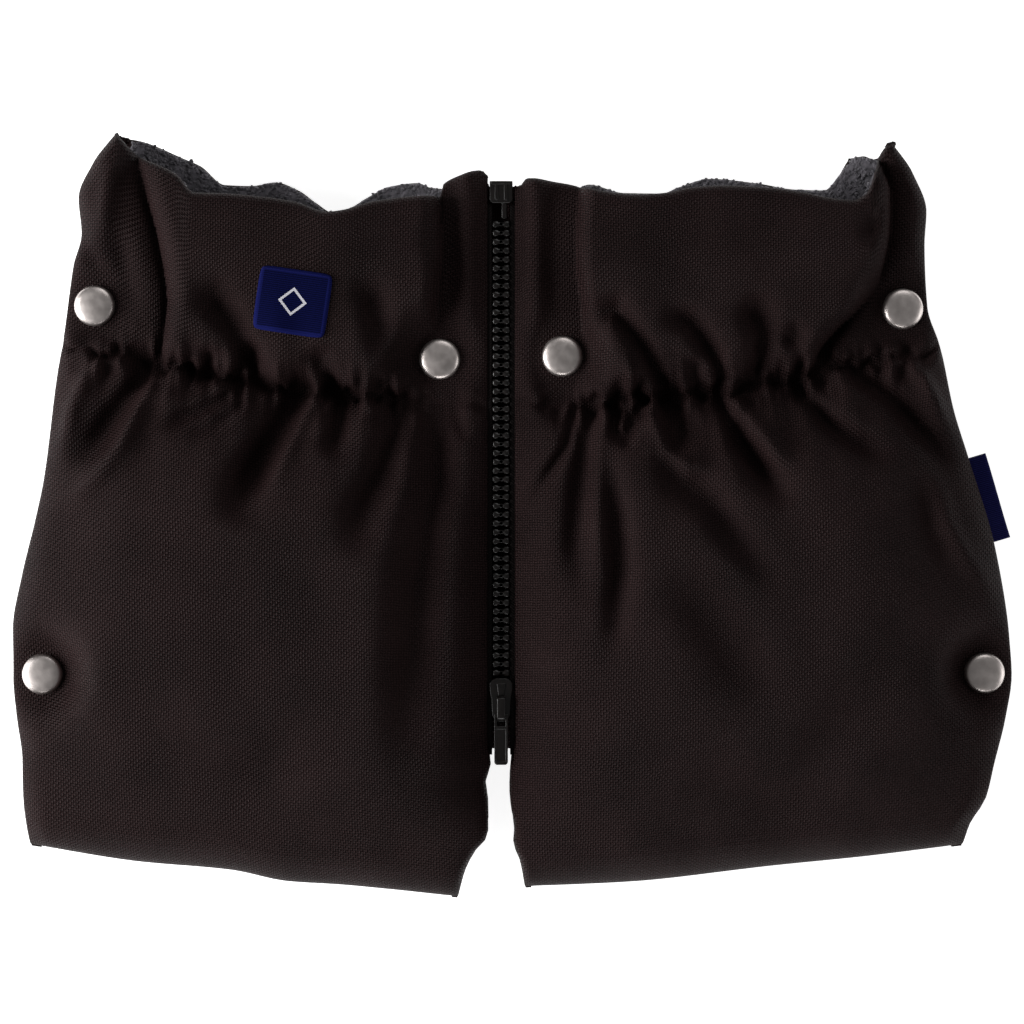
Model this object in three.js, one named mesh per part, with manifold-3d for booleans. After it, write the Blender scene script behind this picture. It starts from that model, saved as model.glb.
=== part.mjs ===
// Hand warmer muff for a pushchair handlebar: two padded halves joined by a separable zip.
// Millimetres. The muff lies on its back: X runs across both halves, Y runs from the bottom
// fold to the wrist collars, Z is the thickness. The origin is the middle of the footprint, at
// the resting surface. Each half is a front and a back panel that meet on the plane z = MID
// along their edges. A panel is a stack of shell, wadding and fleece, with an elastic band in
// the channel below the collar.
import * as THREE from "three";
import { mergeVertices } from "three/addons/utils/BufferGeometryUtils.js";
import Module from "manifold-3d";

const wasm = await Module();
wasm.setup();

// Driving dimensions.
const MID = 27.5;                 // height of the plane where the front and back panels meet
const RIM = 6.5;                  // that plane to a panel's outer face, along its edges
const CLEAR = 0.3;                // gap between touching pieces
const SHELL = 0.8;                // thickness of the woven shell
const PINCHED = 4.7;              // thickness of a panel's stack at edges and snaps
const FULL = 9;                   // thickness of a panel's stack elsewhere
const PINCH_HEIGHT = 12;          // a panel lower than this over MID is pinched
const FLEECE_SHARE = 0.25;        // the fleece's part of the stack
const BAND = 1.1;                 // thickness of the elastic band
const ZIP_X = -4.2;               // the zip's centre line
const BACK_RISE = 2;              // the back collar's edge stands above the front's

// Rows of corner points run from the bottom fold (0) to the collar's edge (10), and the elastic
// band lies between rows 6 and 7. PUFF is how far each row rises over the rim.
const ROWS = 11;
const BAND_ROWS = [6, 7];
const PUFF = [0, 11, 19, 21, 21, 17, 9, 9, 13, 13, 12];
const FOLD_RISE = [0, 10, 30];
const POUCH_Y = [-70, -30];
const ABOVE_BAND = [-25, -6, 6, 28, 50];

// Columns run from the zip (0) to the outer edge (7). SPREAD is each column's share of PUFF.
const COLUMNS = 8;
const ZIP_EDGE = 5.6;             // zip centre line to the shell's edge
const STRIP = 12.5;               // zip centre line to the padding's edge
const PLEAT = 34;                 // zip centre line to the collar's inner pleat
const FLAP = 19;                  // width of the flat strip that carries the outer snaps
const SPREAD = [0, 0, 0.7, 1, 1, 1, 0, 0];
const TUNNEL_RISE = [0, 3, 5.5];  // the rim's rise where the handlebar passes, rows 0 to 2

// Each half's outline: the outer edge's distance from the centre in each row, the collar's
// height in each column, the peak of the collar, and the fold's line.
const HALVES = {
  left: {
    side: -1,
    outer: [178, 178.5, 179.5, 184.2, 181.5, 170, 167.5, 165.5, 162.3, 160.5, 160],
    collar: [122, 126.5, 114.5, 111.6, 116.4, 118.5, 140.8, 117],
    peak: 146,
    foldOuter: -121.5,
    foldInner: -143.2,
    cornerCut: 11,
  },
  right: {
    side: 1,
    outer: [166.5, 170, 177, 184.2, 180.5, 164, 159.5, 156, 152.5, 152.5, 152.5],
    collar: [121, 122, 119, 118.2, 120, 116.4, 137.8, 112],
    peak: 139.3,
    foldOuter: -121.5,
    foldInner: -137.5,
    cornerCut: 3,
  },
};

// Press snaps, each with its cap and socket on the front and its stud and post on the back.
const SNAPS = {
  left_upper: { half: "left", x: -153.7, y: 77.1 },
  left_lower: { half: "left", x: -172.9, y: -58.3 },
  left_inner: { half: "left", x: -26.8, y: 57.5 },
  right_inner: { half: "right", x: 18.3, y: 58.6 },
  right_upper: { half: "right", x: 143.5, y: 76 },
  right_lower: { half: "right", x: 173.5, y: -57.9 },
};
const SNAP_SIDES = 12;
const SNAP_HOLE = 2.4;
const SNAP_BARREL = 2;
const CAP_RADIUS = 7.5;
const CAP_HEIGHT = 2.6;
const SOCKET_RADIUS = 6.2;
const STUD_RADIUS = 5.5;
const STUD_HEAD = 2.8;
const POST_RADIUS = 5;

// Zip: a moulded-tooth chain on two tapes, box and pin at the collar, slider at the fold end.
const CHAIN_Z = MID + 5.15;
const TAPE = 0.5;
const TAPE_BOTTOM_Y = -88;
const TAPE_TOP_Y = 114.5;
const CORD = { inner: 2, outer: 3 };
const TOOTH = { pitch: 3.2, width: 1.2, reach: 0.9, count: 54, half: 1.3 };
const CHAIN_BOTTOM_Y = -65;
const STOP_Y = -70.5;
const BOX = { bottom: 115, top: 123, halfWidth: 4.2, half: 1.9 };
const PIN = { bottom: 109.2, top: 120.5, inner: 0.2, outer: 2, half: 0.9 };
const SLIDER = { bottom: -75.7, top: -59.8, shoulder: 4.7, waist: 3.6, channel: 1.6, plate: 1 };
const GUARD = { bottom: -86, top: 121.5, halfWidth: 11, z: MID + 1.4, thick: 0.6 };
const BAIL = { halfWidth: 1.5, length: 9, slot: 1.7, wall: 0.9 };
const PULL = { length: 18, halfWidth: 2.5, arm: 0.9, bar: 0.55, eye: 3.2 };

// Labels: a square woven patch on the left collar and a folded tag in the right outer edge.
const PATCH = { x: -79.7, y: 77.5, width: 26.5, height: 23.5, turn: -0.145, thick: 0.8 };
const TAG = { x: 173.1, y: 5.6, width: 13.5, length: 32.5, turn: 0.29, thick: 0.8 };

const finish = (color, roughness, metalness = 0) =>
  new THREE.MeshStandardMaterial({ color, roughness, metalness });
const SHELL_CLOTH = finish("#241b1a", 0.75);
const WADDING = finish("#e8e6e0", 0.95);
const FLEECE = finish("#45454d", 0.98);
const ELASTIC = finish("#1a1a1c", 0.8);
const TAPE_CLOTH = finish("#151416", 0.7);
const ACETAL = finish("#0e0e10", 0.35);
const NICKEL = finish("#8d847e", 0.38, 1);
const LABEL = finish("#10154a", 0.6);

const muff = new THREE.Group();

function addNode(name, geometry, material) {
  const mesh = new THREE.Mesh(geometry, material);
  mesh.name = name;
  muff.add(mesh);
}

// A closed mesh as a solid, and back.
function toSolid(geometry) {
  const bare = geometry.clone();
  bare.deleteAttribute("normal");
  bare.deleteAttribute("uv");
  const merged = mergeVertices(bare, 1e-4);
  const vertProperties = new Float32Array(merged.attributes.position.array);
  const triVerts = new Uint32Array(merged.index.array);
  return new wasm.Manifold(new wasm.Mesh({ numProp: 3, vertProperties, triVerts }));
}

function toGeometry(solid) {
  const mesh = solid.getMesh();
  const geometry = new THREE.BufferGeometry();
  geometry.setAttribute("position", new THREE.BufferAttribute(mesh.vertProperties, 3));
  geometry.setIndex(new THREE.BufferAttribute(mesh.triVerts, 1));
  geometry.computeVertexNormals();
  return geometry;
}

function block(x0, x1, y0, y1, z0, z1) {
  const geometry = new THREE.BoxGeometry(x1 - x0, y1 - y0, z1 - z0);
  return geometry.translate((x0 + x1) / 2, (y0 + y1) / 2, (z0 + z1) / 2);
}

function post(x, y, radius, z0, z1) {
  const geometry = new THREE.CylinderGeometry(radius, radius, z1 - z0, SNAP_SIDES);
  return geometry.rotateX(Math.PI / 2).translate(x, y, (z0 + z1) / 2);
}

// A turned piece about a vertical axis: profile points are [radius, height over MID].
function turned(x, y, profile) {
  const points = profile.map(([radius, height]) => new THREE.Vector2(radius, height));
  const geometry = new THREE.LatheGeometry(points, SNAP_SIDES);
  return geometry.rotateX(Math.PI / 2).translate(x, y, MID);
}

// The elastic channel sags towards the zip.
function bandY(x) {
  return 41 + 20 * (Math.abs(x) / 158) ** 1.8;
}

function foldY(half, x) {
  const share = Math.min(1, Math.abs(x) / half.outer[0]);
  return half.foldInner + (half.foldOuter - half.foldInner) * share;
}

// Distance of a column from the centre line of the muff, in one row.
function columnX(half, column, row) {
  const top = ROWS - 1;
  const cut = row === 0 ? half.cornerCut : 0;
  const outer = half.outer[row];
  const flap = row === top ? half.peak : outer - FLAP;
  const fromZip = [ZIP_EDGE + cut, STRIP + cut, PLEAT + cut / 2];
  const inner = fromZip.map((distance) => distance + half.side * ZIP_X);
  if (column < 3) {
    return half.side * inner[column];
  }
  if (column > 5) {
    return half.side * (column === 6 ? flap : outer);
  }
  const share = (column - 2) / 4;
  return half.side * (inner[2] + (flap - inner[2]) * share);
}

function rowY(half, column, row, x, rise) {
  if (row < FOLD_RISE.length) {
    return foldY(half, x) + FOLD_RISE[row];
  }
  if (row < FOLD_RISE.length + POUCH_Y.length) {
    return POUCH_Y[row - FOLD_RISE.length];
  }
  if (row === ROWS - 1) {
    const raised = column > 1 && column < 6;
    return half.collar[column] + (raised ? rise : 0);
  }
  const above = ABOVE_BAND[row - FOLD_RISE.length - POUCH_Y.length];
  return Math.min(bandY(x) + above, half.collar[column] - 8);
}

// The outer face's height over MID: puffed in the middle, and flat along the zip, the flap and
// the inner snap's seat, with the rim lifted where the handlebar passes.
function puffHeight(column, row) {
  const edge = column < 2 || column > 5;
  if (edge) {
    return RIM + (row < TUNNEL_RISE.length ? TUNNEL_RISE[row] : 0);
  }
  const snapSeat = column === 2 && (row === 7 || row === 8);
  return snapSeat ? RIM : RIM + PUFF[row] * SPREAD[column];
}

// Heights over MID of one layer's two faces at a corner point, outermost first.
const LAYERS = {
  shell: (height) => [height, height - SHELL],
  band: (height) => {
    const top = height - SHELL - CLEAR;
    return [top, top - BAND];
  },
  wadding: (height, stack, row) => {
    const banded = BAND_ROWS.includes(row) ? BAND + CLEAR : 0;
    const bottom = height - stack * (1 - FLEECE_SHARE) + CLEAR;
    return [height - SHELL - CLEAR - banded, bottom];
  },
  fleece: (height, stack) => [height - stack * (1 - FLEECE_SHARE), height - stack],
};

// A layer of one panel as a closed slab. `up` is 1 for a front panel and -1 for a back panel.
function layer(half, up, kind, columns, rows) {
  const width = columns[1] - columns[0] + 1;
  const depth = rows[1] - rows[0] + 1;
  const positions = [];
  for (let i = 0; i < width; i += 1) {
    for (let j = 0; j < depth; j += 1) {
      const column = columns[0] + i;
      const row = rows[0] + j;
      const x = columnX(half, column, row);
      const y = rowY(half, column, row, x, up < 0 ? BACK_RISE : 0);
      const height = puffHeight(column, row);
      const stack = height > PINCH_HEIGHT ? FULL : PINCHED;
      const faces = LAYERS[kind](height, stack, row);
      const zs = faces.map((face) => MID + up * face).sort((a, b) => b - a);
      positions.push(x, y, zs[0], x, y, zs[1]);
    }
  }
  const corner = (i, j, level) => (i * depth + j) * 2 + level;
  const index = [];
  const quad = (a, b, c, d) => {
    const turn = half.side > 0 ? [a, b, c, a, c, d] : [a, c, b, a, d, c];
    index.push(...turn);
  };
  for (let i = 0; i < width - 1; i += 1) {
    for (let j = 0; j < depth - 1; j += 1) {
      quad(corner(i, j, 0), corner(i + 1, j, 0), corner(i + 1, j + 1, 0), corner(i, j + 1, 0));
      quad(corner(i, j, 1), corner(i, j + 1, 1), corner(i + 1, j + 1, 1), corner(i + 1, j, 1));
    }
    const last = depth - 1;
    quad(corner(i, 0, 1), corner(i + 1, 0, 1), corner(i + 1, 0, 0), corner(i, 0, 0));
    quad(corner(i, last, 0), corner(i + 1, last, 0), corner(i + 1, last, 1), corner(i, last, 1));
  }
  for (let j = 0; j < depth - 1; j += 1) {
    const last = width - 1;
    quad(corner(0, j, 0), corner(0, j + 1, 0), corner(0, j + 1, 1), corner(0, j, 1));
    quad(corner(last, j, 1), corner(last, j + 1, 1), corner(last, j + 1, 0), corner(last, j, 0));
  }
  const geometry = new THREE.BufferGeometry();
  geometry.setAttribute("position", new THREE.Float32BufferAttribute(positions, 3));
  geometry.setIndex(index);
  return geometry;
}

// A layer with a hole for each snap that goes through it.
function piercedLayer(halfName, up, kind, columns) {
  let solid = toSolid(layer(HALVES[halfName], up, kind, columns, [0, ROWS - 1]));
  for (const snap of Object.values(SNAPS).filter((entry) => entry.half === halfName)) {
    solid = solid.subtract(toSolid(post(snap.x, snap.y, SNAP_HOLE, MID - 40, MID + 40)));
  }
  return solid;
}

function makePanels() {
  for (const [halfName, half] of Object.entries(HALVES)) {
    for (const [face, up] of [["front", 1], ["back", -1]]) {
      const prefix = `${halfName}_${face}`;
      const all = [0, COLUMNS - 1];
      const padded = [1, COLUMNS - 1];
      addNode(`${prefix}_shell`, toGeometry(piercedLayer(halfName, up, "shell", all)), SHELL_CLOTH);
      addNode(`${prefix}_wadding`, toGeometry(piercedLayer(halfName, up, "wadding", padded)), WADDING);
      addNode(`${prefix}_lining`, toGeometry(piercedLayer(halfName, up, "fleece", padded)), FLEECE);
      addNode(`${prefix}_elastic`, layer(half, up, "band", padded, BAND_ROWS), ELASTIC);
    }
  }
}

// Each snap, from the top: domed cap with its barrel, socket, stud, and the post behind.
function makeSnaps() {
  const lining = RIM - PINCHED;
  const capBase = RIM + CLEAR;
  const socketTop = lining - CLEAR;
  const studBase = -lining + CLEAR;
  for (const [name, { x, y }] of Object.entries(SNAPS)) {
    const cap = [
      [0, lining],
      [SNAP_BARREL, lining],
      [SNAP_BARREL, capBase],
      [CAP_RADIUS, capBase],
      [CAP_RADIUS, capBase + CAP_HEIGHT * 0.4],
      [CAP_RADIUS * 0.75, capBase + CAP_HEIGHT * 0.85],
      [0, capBase + CAP_HEIGHT],
    ];
    const socket = [
      [0, socketTop - 0.3],
      [STUD_HEAD + 0.5, socketTop - 0.3],
      [STUD_HEAD + 0.5, -0.3],
      [SOCKET_RADIUS, -0.3],
      [SOCKET_RADIUS, socketTop],
      [0, socketTop],
    ];
    const stud = [
      [0, studBase],
      [STUD_RADIUS, studBase],
      [STUD_RADIUS, studBase + 0.8],
      [STUD_HEAD, studBase + 0.8],
      [STUD_HEAD, socketTop - 0.6],
      [0, socketTop - 0.6],
    ];
    const postBase = -capBase;
    const rivet = [
      [0, postBase - 1.2],
      [POST_RADIUS, postBase - 1.2],
      [POST_RADIUS, postBase],
      [SNAP_BARREL, postBase],
      [SNAP_BARREL, -lining],
      [0, -lining],
    ];
    addNode(`${name}_snap_cap`, turned(x, y, cap), NICKEL);
    addNode(`${name}_snap_socket`, turned(x, y, socket), NICKEL);
    addNode(`${name}_snap_stud`, turned(x, y, stud), NICKEL);
    addNode(`${name}_snap_post`, turned(x, y, rivet), NICKEL);
  }
}

// One side's row of teeth on its cord: a comb outline, extruded. `offset` staggers the teeth.
function toothChain(side, offset) {
  const outline = new THREE.Shape();
  const end = CHAIN_BOTTOM_Y + TOOTH.pitch * TOOTH.count;
  outline.moveTo(side * CORD.outer, end);
  outline.lineTo(side * CORD.outer, CHAIN_BOTTOM_Y);
  outline.lineTo(side * CORD.inner, CHAIN_BOTTOM_Y);
  for (let tooth = 0; tooth < TOOTH.count; tooth += 1) {
    const y = CHAIN_BOTTOM_Y + offset + TOOTH.pitch * tooth;
    outline.lineTo(side * CORD.inner, y);
    outline.lineTo(-side * TOOTH.reach, y);
    outline.lineTo(-side * TOOTH.reach, y + TOOTH.width);
    outline.lineTo(side * CORD.inner, y + TOOTH.width);
  }
  outline.lineTo(side * CORD.inner, end);
  const geometry = new THREE.ExtrudeGeometry(outline, { depth: 2 * TOOTH.half, bevelEnabled: false });
  return geometry.translate(ZIP_X, 0, CHAIN_Z - TOOTH.half);
}

function makeZip() {
  for (const [name, side] of [["left", -1], ["right", 1]]) {
    const tapeEdges = [ZIP_X + side * (CORD.outer + CLEAR), ZIP_X + side * (STRIP - 0.5)]
      .sort((a, b) => a - b);
    const stopEdges = [ZIP_X + side * 0.6, ZIP_X + side * CORD.outer].sort((a, b) => a - b);
    const tape = block(...tapeEdges, TAPE_BOTTOM_Y, TAPE_TOP_Y, CHAIN_Z - TAPE / 2, CHAIN_Z + TAPE / 2);
    const stop = block(...stopEdges, STOP_Y, STOP_Y + 4, CHAIN_Z - TOOTH.half, CHAIN_Z + TOOTH.half);
    addNode(`${name}_zip_tape`, tape, TAPE_CLOTH);
    addNode(`${name}_zip_teeth`, toothChain(side, side > 0 ? 0.2 : 0.2 + TOOTH.pitch / 2), ACETAL);
    addNode(`${name}_zip_end_stop`, stop, ACETAL);
  }
  const body = block(ZIP_X - BOX.halfWidth, ZIP_X + BOX.halfWidth, BOX.bottom, BOX.top,
    CHAIN_Z - BOX.half, CHAIN_Z + BOX.half);
  const pocket = block(ZIP_X + PIN.inner - CLEAR, ZIP_X + PIN.outer + CLEAR, BOX.bottom - 1,
    PIN.top + CLEAR, CHAIN_Z - PIN.half - CLEAR, CHAIN_Z + PIN.half + CLEAR);
  const pin = block(ZIP_X + PIN.inner, ZIP_X + PIN.outer, PIN.bottom, PIN.top,
    CHAIN_Z - PIN.half, CHAIN_Z + PIN.half);
  addNode("zip_box", toGeometry(toSolid(body).subtract(toSolid(pocket))), ACETAL);
  addNode("zip_insert_pin", pin, ACETAL);
  addNode("zip_guard", block(ZIP_X - GUARD.halfWidth, ZIP_X + GUARD.halfWidth, GUARD.bottom,
    GUARD.top, GUARD.z, GUARD.z + GUARD.thick), SHELL_CLOTH);
}

// A slider plate, broad at the shoulders and drawn in below.
function sliderPlate(z) {
  const { bottom, top, shoulder, waist, plate } = SLIDER;
  const outline = new THREE.Shape();
  outline.moveTo(-waist, bottom);
  outline.lineTo(waist, bottom);
  outline.lineTo(shoulder, top - 4.5);
  outline.lineTo(shoulder * 0.75, top - 0.8);
  outline.lineTo(0, top);
  outline.lineTo(-shoulder * 0.75, top - 0.8);
  outline.lineTo(-shoulder, top - 4.5);
  const geometry = new THREE.ExtrudeGeometry(outline, { depth: plate, bevelEnabled: false });
  return geometry.translate(ZIP_X, 0, z);
}

function makeSlider() {
  const plateZ = CHAIN_Z + SLIDER.channel;
  const bailZ = plateZ + SLIDER.plate;
  const bailBottom = SLIDER.bottom + 0.5;
  const bailTop = bailBottom + BAIL.length;
  const arch = block(ZIP_X - BAIL.halfWidth, ZIP_X + BAIL.halfWidth, bailBottom, bailTop,
    bailZ - 0.2, bailZ + BAIL.slot + BAIL.wall);
  const slot = block(ZIP_X - BAIL.halfWidth - 1, ZIP_X + BAIL.halfWidth + 1,
    bailBottom + BAIL.wall, bailTop - BAIL.wall, bailZ, bailZ + BAIL.slot);
  const bail = toSolid(arch).subtract(toSolid(slot));
  addNode("slider_body", toGeometry(toSolid(sliderPlate(plateZ)).add(bail)), ACETAL);
  addNode("slider_back_plate", sliderPlate(CHAIN_Z - SLIDER.channel - SLIDER.plate), ACETAL);
}

// The pull: a flat tab with an eye, whose cross bar runs through the slider's bail.
function makePull() {
  const axisY = SLIDER.bottom + 0.5 + BAIL.wall + PULL.bar + 0.25;
  const axisZ = CHAIN_Z + SLIDER.channel + SLIDER.plate + BAIL.slot / 2;
  const half = 0.6;
  const outer = block(ZIP_X - PULL.halfWidth, ZIP_X + PULL.halfWidth, axisY - PULL.length,
    axisY + PULL.bar, axisZ - half, axisZ + half);
  const hole = block(ZIP_X - PULL.halfWidth + PULL.arm, ZIP_X + PULL.halfWidth - PULL.arm,
    axisY - PULL.bar - PULL.eye, axisY - PULL.bar, axisZ - 2, axisZ + 2);
  const barTrim = block(ZIP_X - 4, ZIP_X + 4, axisY - PULL.bar, axisY + 2,
    axisZ + PULL.bar, axisZ + 2);
  const barTrimBelow = block(ZIP_X - 4, ZIP_X + 4, axisY - PULL.bar, axisY + 2,
    axisZ - 2, axisZ - PULL.bar);
  const pull = toSolid(outer).subtract(toSolid(hole)).subtract(toSolid(barTrim));
  addNode("pull_tab", toGeometry(pull.subtract(toSolid(barTrimBelow))), ACETAL);
}

function makeLabels() {
  const lifted = piercedLayer("left", 1, "shell", [0, COLUMNS - 1]).translate([0, 0, SHELL + CLEAR]);
  const cutter = new THREE.BoxGeometry(PATCH.width, PATCH.height, 80);
  cutter.rotateZ(PATCH.turn).translate(PATCH.x, PATCH.y, MID);
  addNode("woven_patch", toGeometry(lifted.intersect(toSolid(cutter))), LABEL);
  const tag = new THREE.BoxGeometry(TAG.width, TAG.length, TAG.thick);
  addNode("side_tag", tag.rotateZ(TAG.turn).translate(TAG.x, TAG.y, MID), LABEL);
}

makePanels();
makeSnaps();
makeZip();
makeSlider();
makePull();
makeLabels();

export default muff;
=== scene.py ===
"""Looks of a hand warmer muff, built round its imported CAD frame.

Lengths are worked out in millimetres and become metres when a mesh is made. The muff lies on its
back: X runs across both halves, Y from the bottom fold to the collars, Z is the thickness. Each
half is worked out in its own coordinates: `a` is the distance outwards from X = 0, `y` is the
frame's Y, and heights are counted from the plane where the front and back panels meet.
"""
import math

import bpy
import numpy as np
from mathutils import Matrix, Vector


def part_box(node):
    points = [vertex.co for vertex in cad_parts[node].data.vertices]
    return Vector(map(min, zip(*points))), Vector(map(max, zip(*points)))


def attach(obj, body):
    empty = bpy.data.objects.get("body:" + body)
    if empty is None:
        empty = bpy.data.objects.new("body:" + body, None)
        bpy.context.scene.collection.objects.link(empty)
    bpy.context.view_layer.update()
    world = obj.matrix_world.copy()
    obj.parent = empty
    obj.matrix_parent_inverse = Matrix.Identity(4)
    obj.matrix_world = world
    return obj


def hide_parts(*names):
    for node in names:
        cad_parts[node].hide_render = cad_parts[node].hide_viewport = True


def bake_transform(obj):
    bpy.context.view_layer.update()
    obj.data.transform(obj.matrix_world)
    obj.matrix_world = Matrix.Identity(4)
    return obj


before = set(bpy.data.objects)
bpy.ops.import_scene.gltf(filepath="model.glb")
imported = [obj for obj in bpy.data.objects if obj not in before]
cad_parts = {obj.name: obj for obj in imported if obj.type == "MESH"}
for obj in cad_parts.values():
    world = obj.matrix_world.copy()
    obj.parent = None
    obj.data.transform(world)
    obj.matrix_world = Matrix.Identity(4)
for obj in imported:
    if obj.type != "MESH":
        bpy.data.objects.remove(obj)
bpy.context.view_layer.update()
MM = 0.001


def centre(node):
    """Middle of a CAD node's box, in millimetres."""
    low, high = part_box(node)
    return [(p + q) / 2 / MM for p, q in zip(low, high)]


def sides(node):
    """A CAD node's box in millimetres: x0, x1, y0, y1, z0, z1."""
    low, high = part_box(node)
    return [end / MM for pair in zip(low, high) for end in pair]


ZIP_X = centre("zip_box")[0]
MID = centre("side_tag")[2]
CHAIN_Z = centre("left_zip_teeth")[2] - MID
FLOOR = MID - 0.1

RIM_ROLL = 9.0        # radius of the padded outer edge
FOLD_ROLL = 14.0      # radius of the bottom fold
ZIP_ROLL = 2.4        # radius of the edge turned in beside the zip
LIP_ROLL = 3.0        # radius of the collar's lip
LIP_THICK = 6.0       # thickness of the panel at the collar's lip
PANEL = 9.0           # thickness of shell, wadding and fleece together
REST_GAP = 0.8        # half the gap between front and back panels along their edges
SNAP_GAP = 1.9        # the same where a snap lies between them
SNAP_SEAT = 6.4       # the shell's height under a cap
CREASE_GAIN = 1.8     # how much deeper than its table says a crease is pressed

HALVES = {
    "left": {
        "side": -1,
        "outer": [(-121.5, 178.2), (-104, 180), (-90, 180.2), (-75, 182.5), (-60, 184.1),
                  (-42, 184.1), (-22, 180.7), (-2, 175.9), (14, 172.6), (49, 168.2), (65, 165.6),
                  (92, 161.9), (104, 158.9), (117, 160), (130, 154.5), (141, 146)],
        "inner": [(-141, 16), (-130, 13), (-123, 9.3), (-117, 4.7), (-104, 4.9), (-99, 5.8),
                  (-91, 3.8), (-82, 5.0), (125, 5.0)],
        "fold": [(20, -140.8), (63, -136.5), (83, -135.2), (104, -131), (139, -127.8),
                 (178, -121.5)],
        "front_rim": [(8, 123), (12, 127.1), (19.4, 125.2), (25.4, 122.3), (26.8, 117.5),
                      (37.6, 116.4), (51.6, 114.5), (61, 111.6), (67.5, 110.8), (79.7, 114.5),
                      (92.7, 116.4), (106, 117.5), (116, 117.8), (122.7, 124.5), (137.8, 132.3),
                      (146, 140.8)],
        "back_rim": [(8, 122), (14, 125), (24, 122), (32, 123), (36, 124.6), (46, 123.4),
                     (54, 119.5), (61, 115.5), (67.5, 113.8), (74, 117.5), (80, 121.8),
                     (89, 125), (98, 123.6), (108, 124), (117, 131), (123, 133.6), (137, 139),
                     (146, 140.8)],
        "inner_wall": 22.8,
        "outer_wall": [(50, 126), (59, 129), (68, 127.5), (79, 126.7), (100, 129.7),
                       (117, 134.1), (135, 138.6)],
    },
    "right": {
        "side": 1,
        "outer": [(-121.5, 166.3), (-113.8, 168.4), (-104, 174.1), (-92, 176.9), (-75, 181.5),
                  (-59, 184.1), (-44, 183), (-12, 177.8), (22, 167.8), (39, 162.6), (62, 157.8),
                  (77, 153), (100, 151.9), (112, 152.6), (126, 147.6), (138, 139.3)],
        "inner": [(-138, 8.9), (-127, 6.9), (-120, 4.4), (-113, 4.9), (-109, 3.9), (-100, 3.0),
                  (-91, 3.4), (-82, 5.0), (125, 5.0)],
        "fold": [(4, -137.1), (42.7, -135.4), (95.6, -129.5), (130, -126), (166.3, -121.5)],
        "front_rim": [(2.8, 121.2), (5.4, 124.1), (17.6, 122.7), (23.5, 121.5), (26, 120.4),
                      (32.4, 118.6), (46.1, 117.1), (56.1, 117.8), (64.9, 119.7), (76.8, 120.4),
                      (92.7, 119.7), (106.4, 117.8), (116.4, 115.6), (124.1, 114.9),
                      (128.9, 117.5), (133.5, 128.5), (136.4, 134.6), (139.3, 137.4)],
        "back_rim": [(3, 120), (12, 122), (24, 122.5), (28.7, 124), (41.6, 121), (56, 120.8),
                     (62, 123), (74, 126.3), (91.6, 124.6), (106, 122.3), (117, 122),
                     (122, 127), (126, 133), (131, 134), (135, 132.5), (139.3, 137.8)],
        "inner_wall": 28.5,
        "outer_wall": [(45, 104), (54, 110), (60, 113), (66, 117.1), (75, 126), (86, 134.5),
                       (105, 138.4), (118, 138.9), (130, 134.5)],
    },
}

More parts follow.
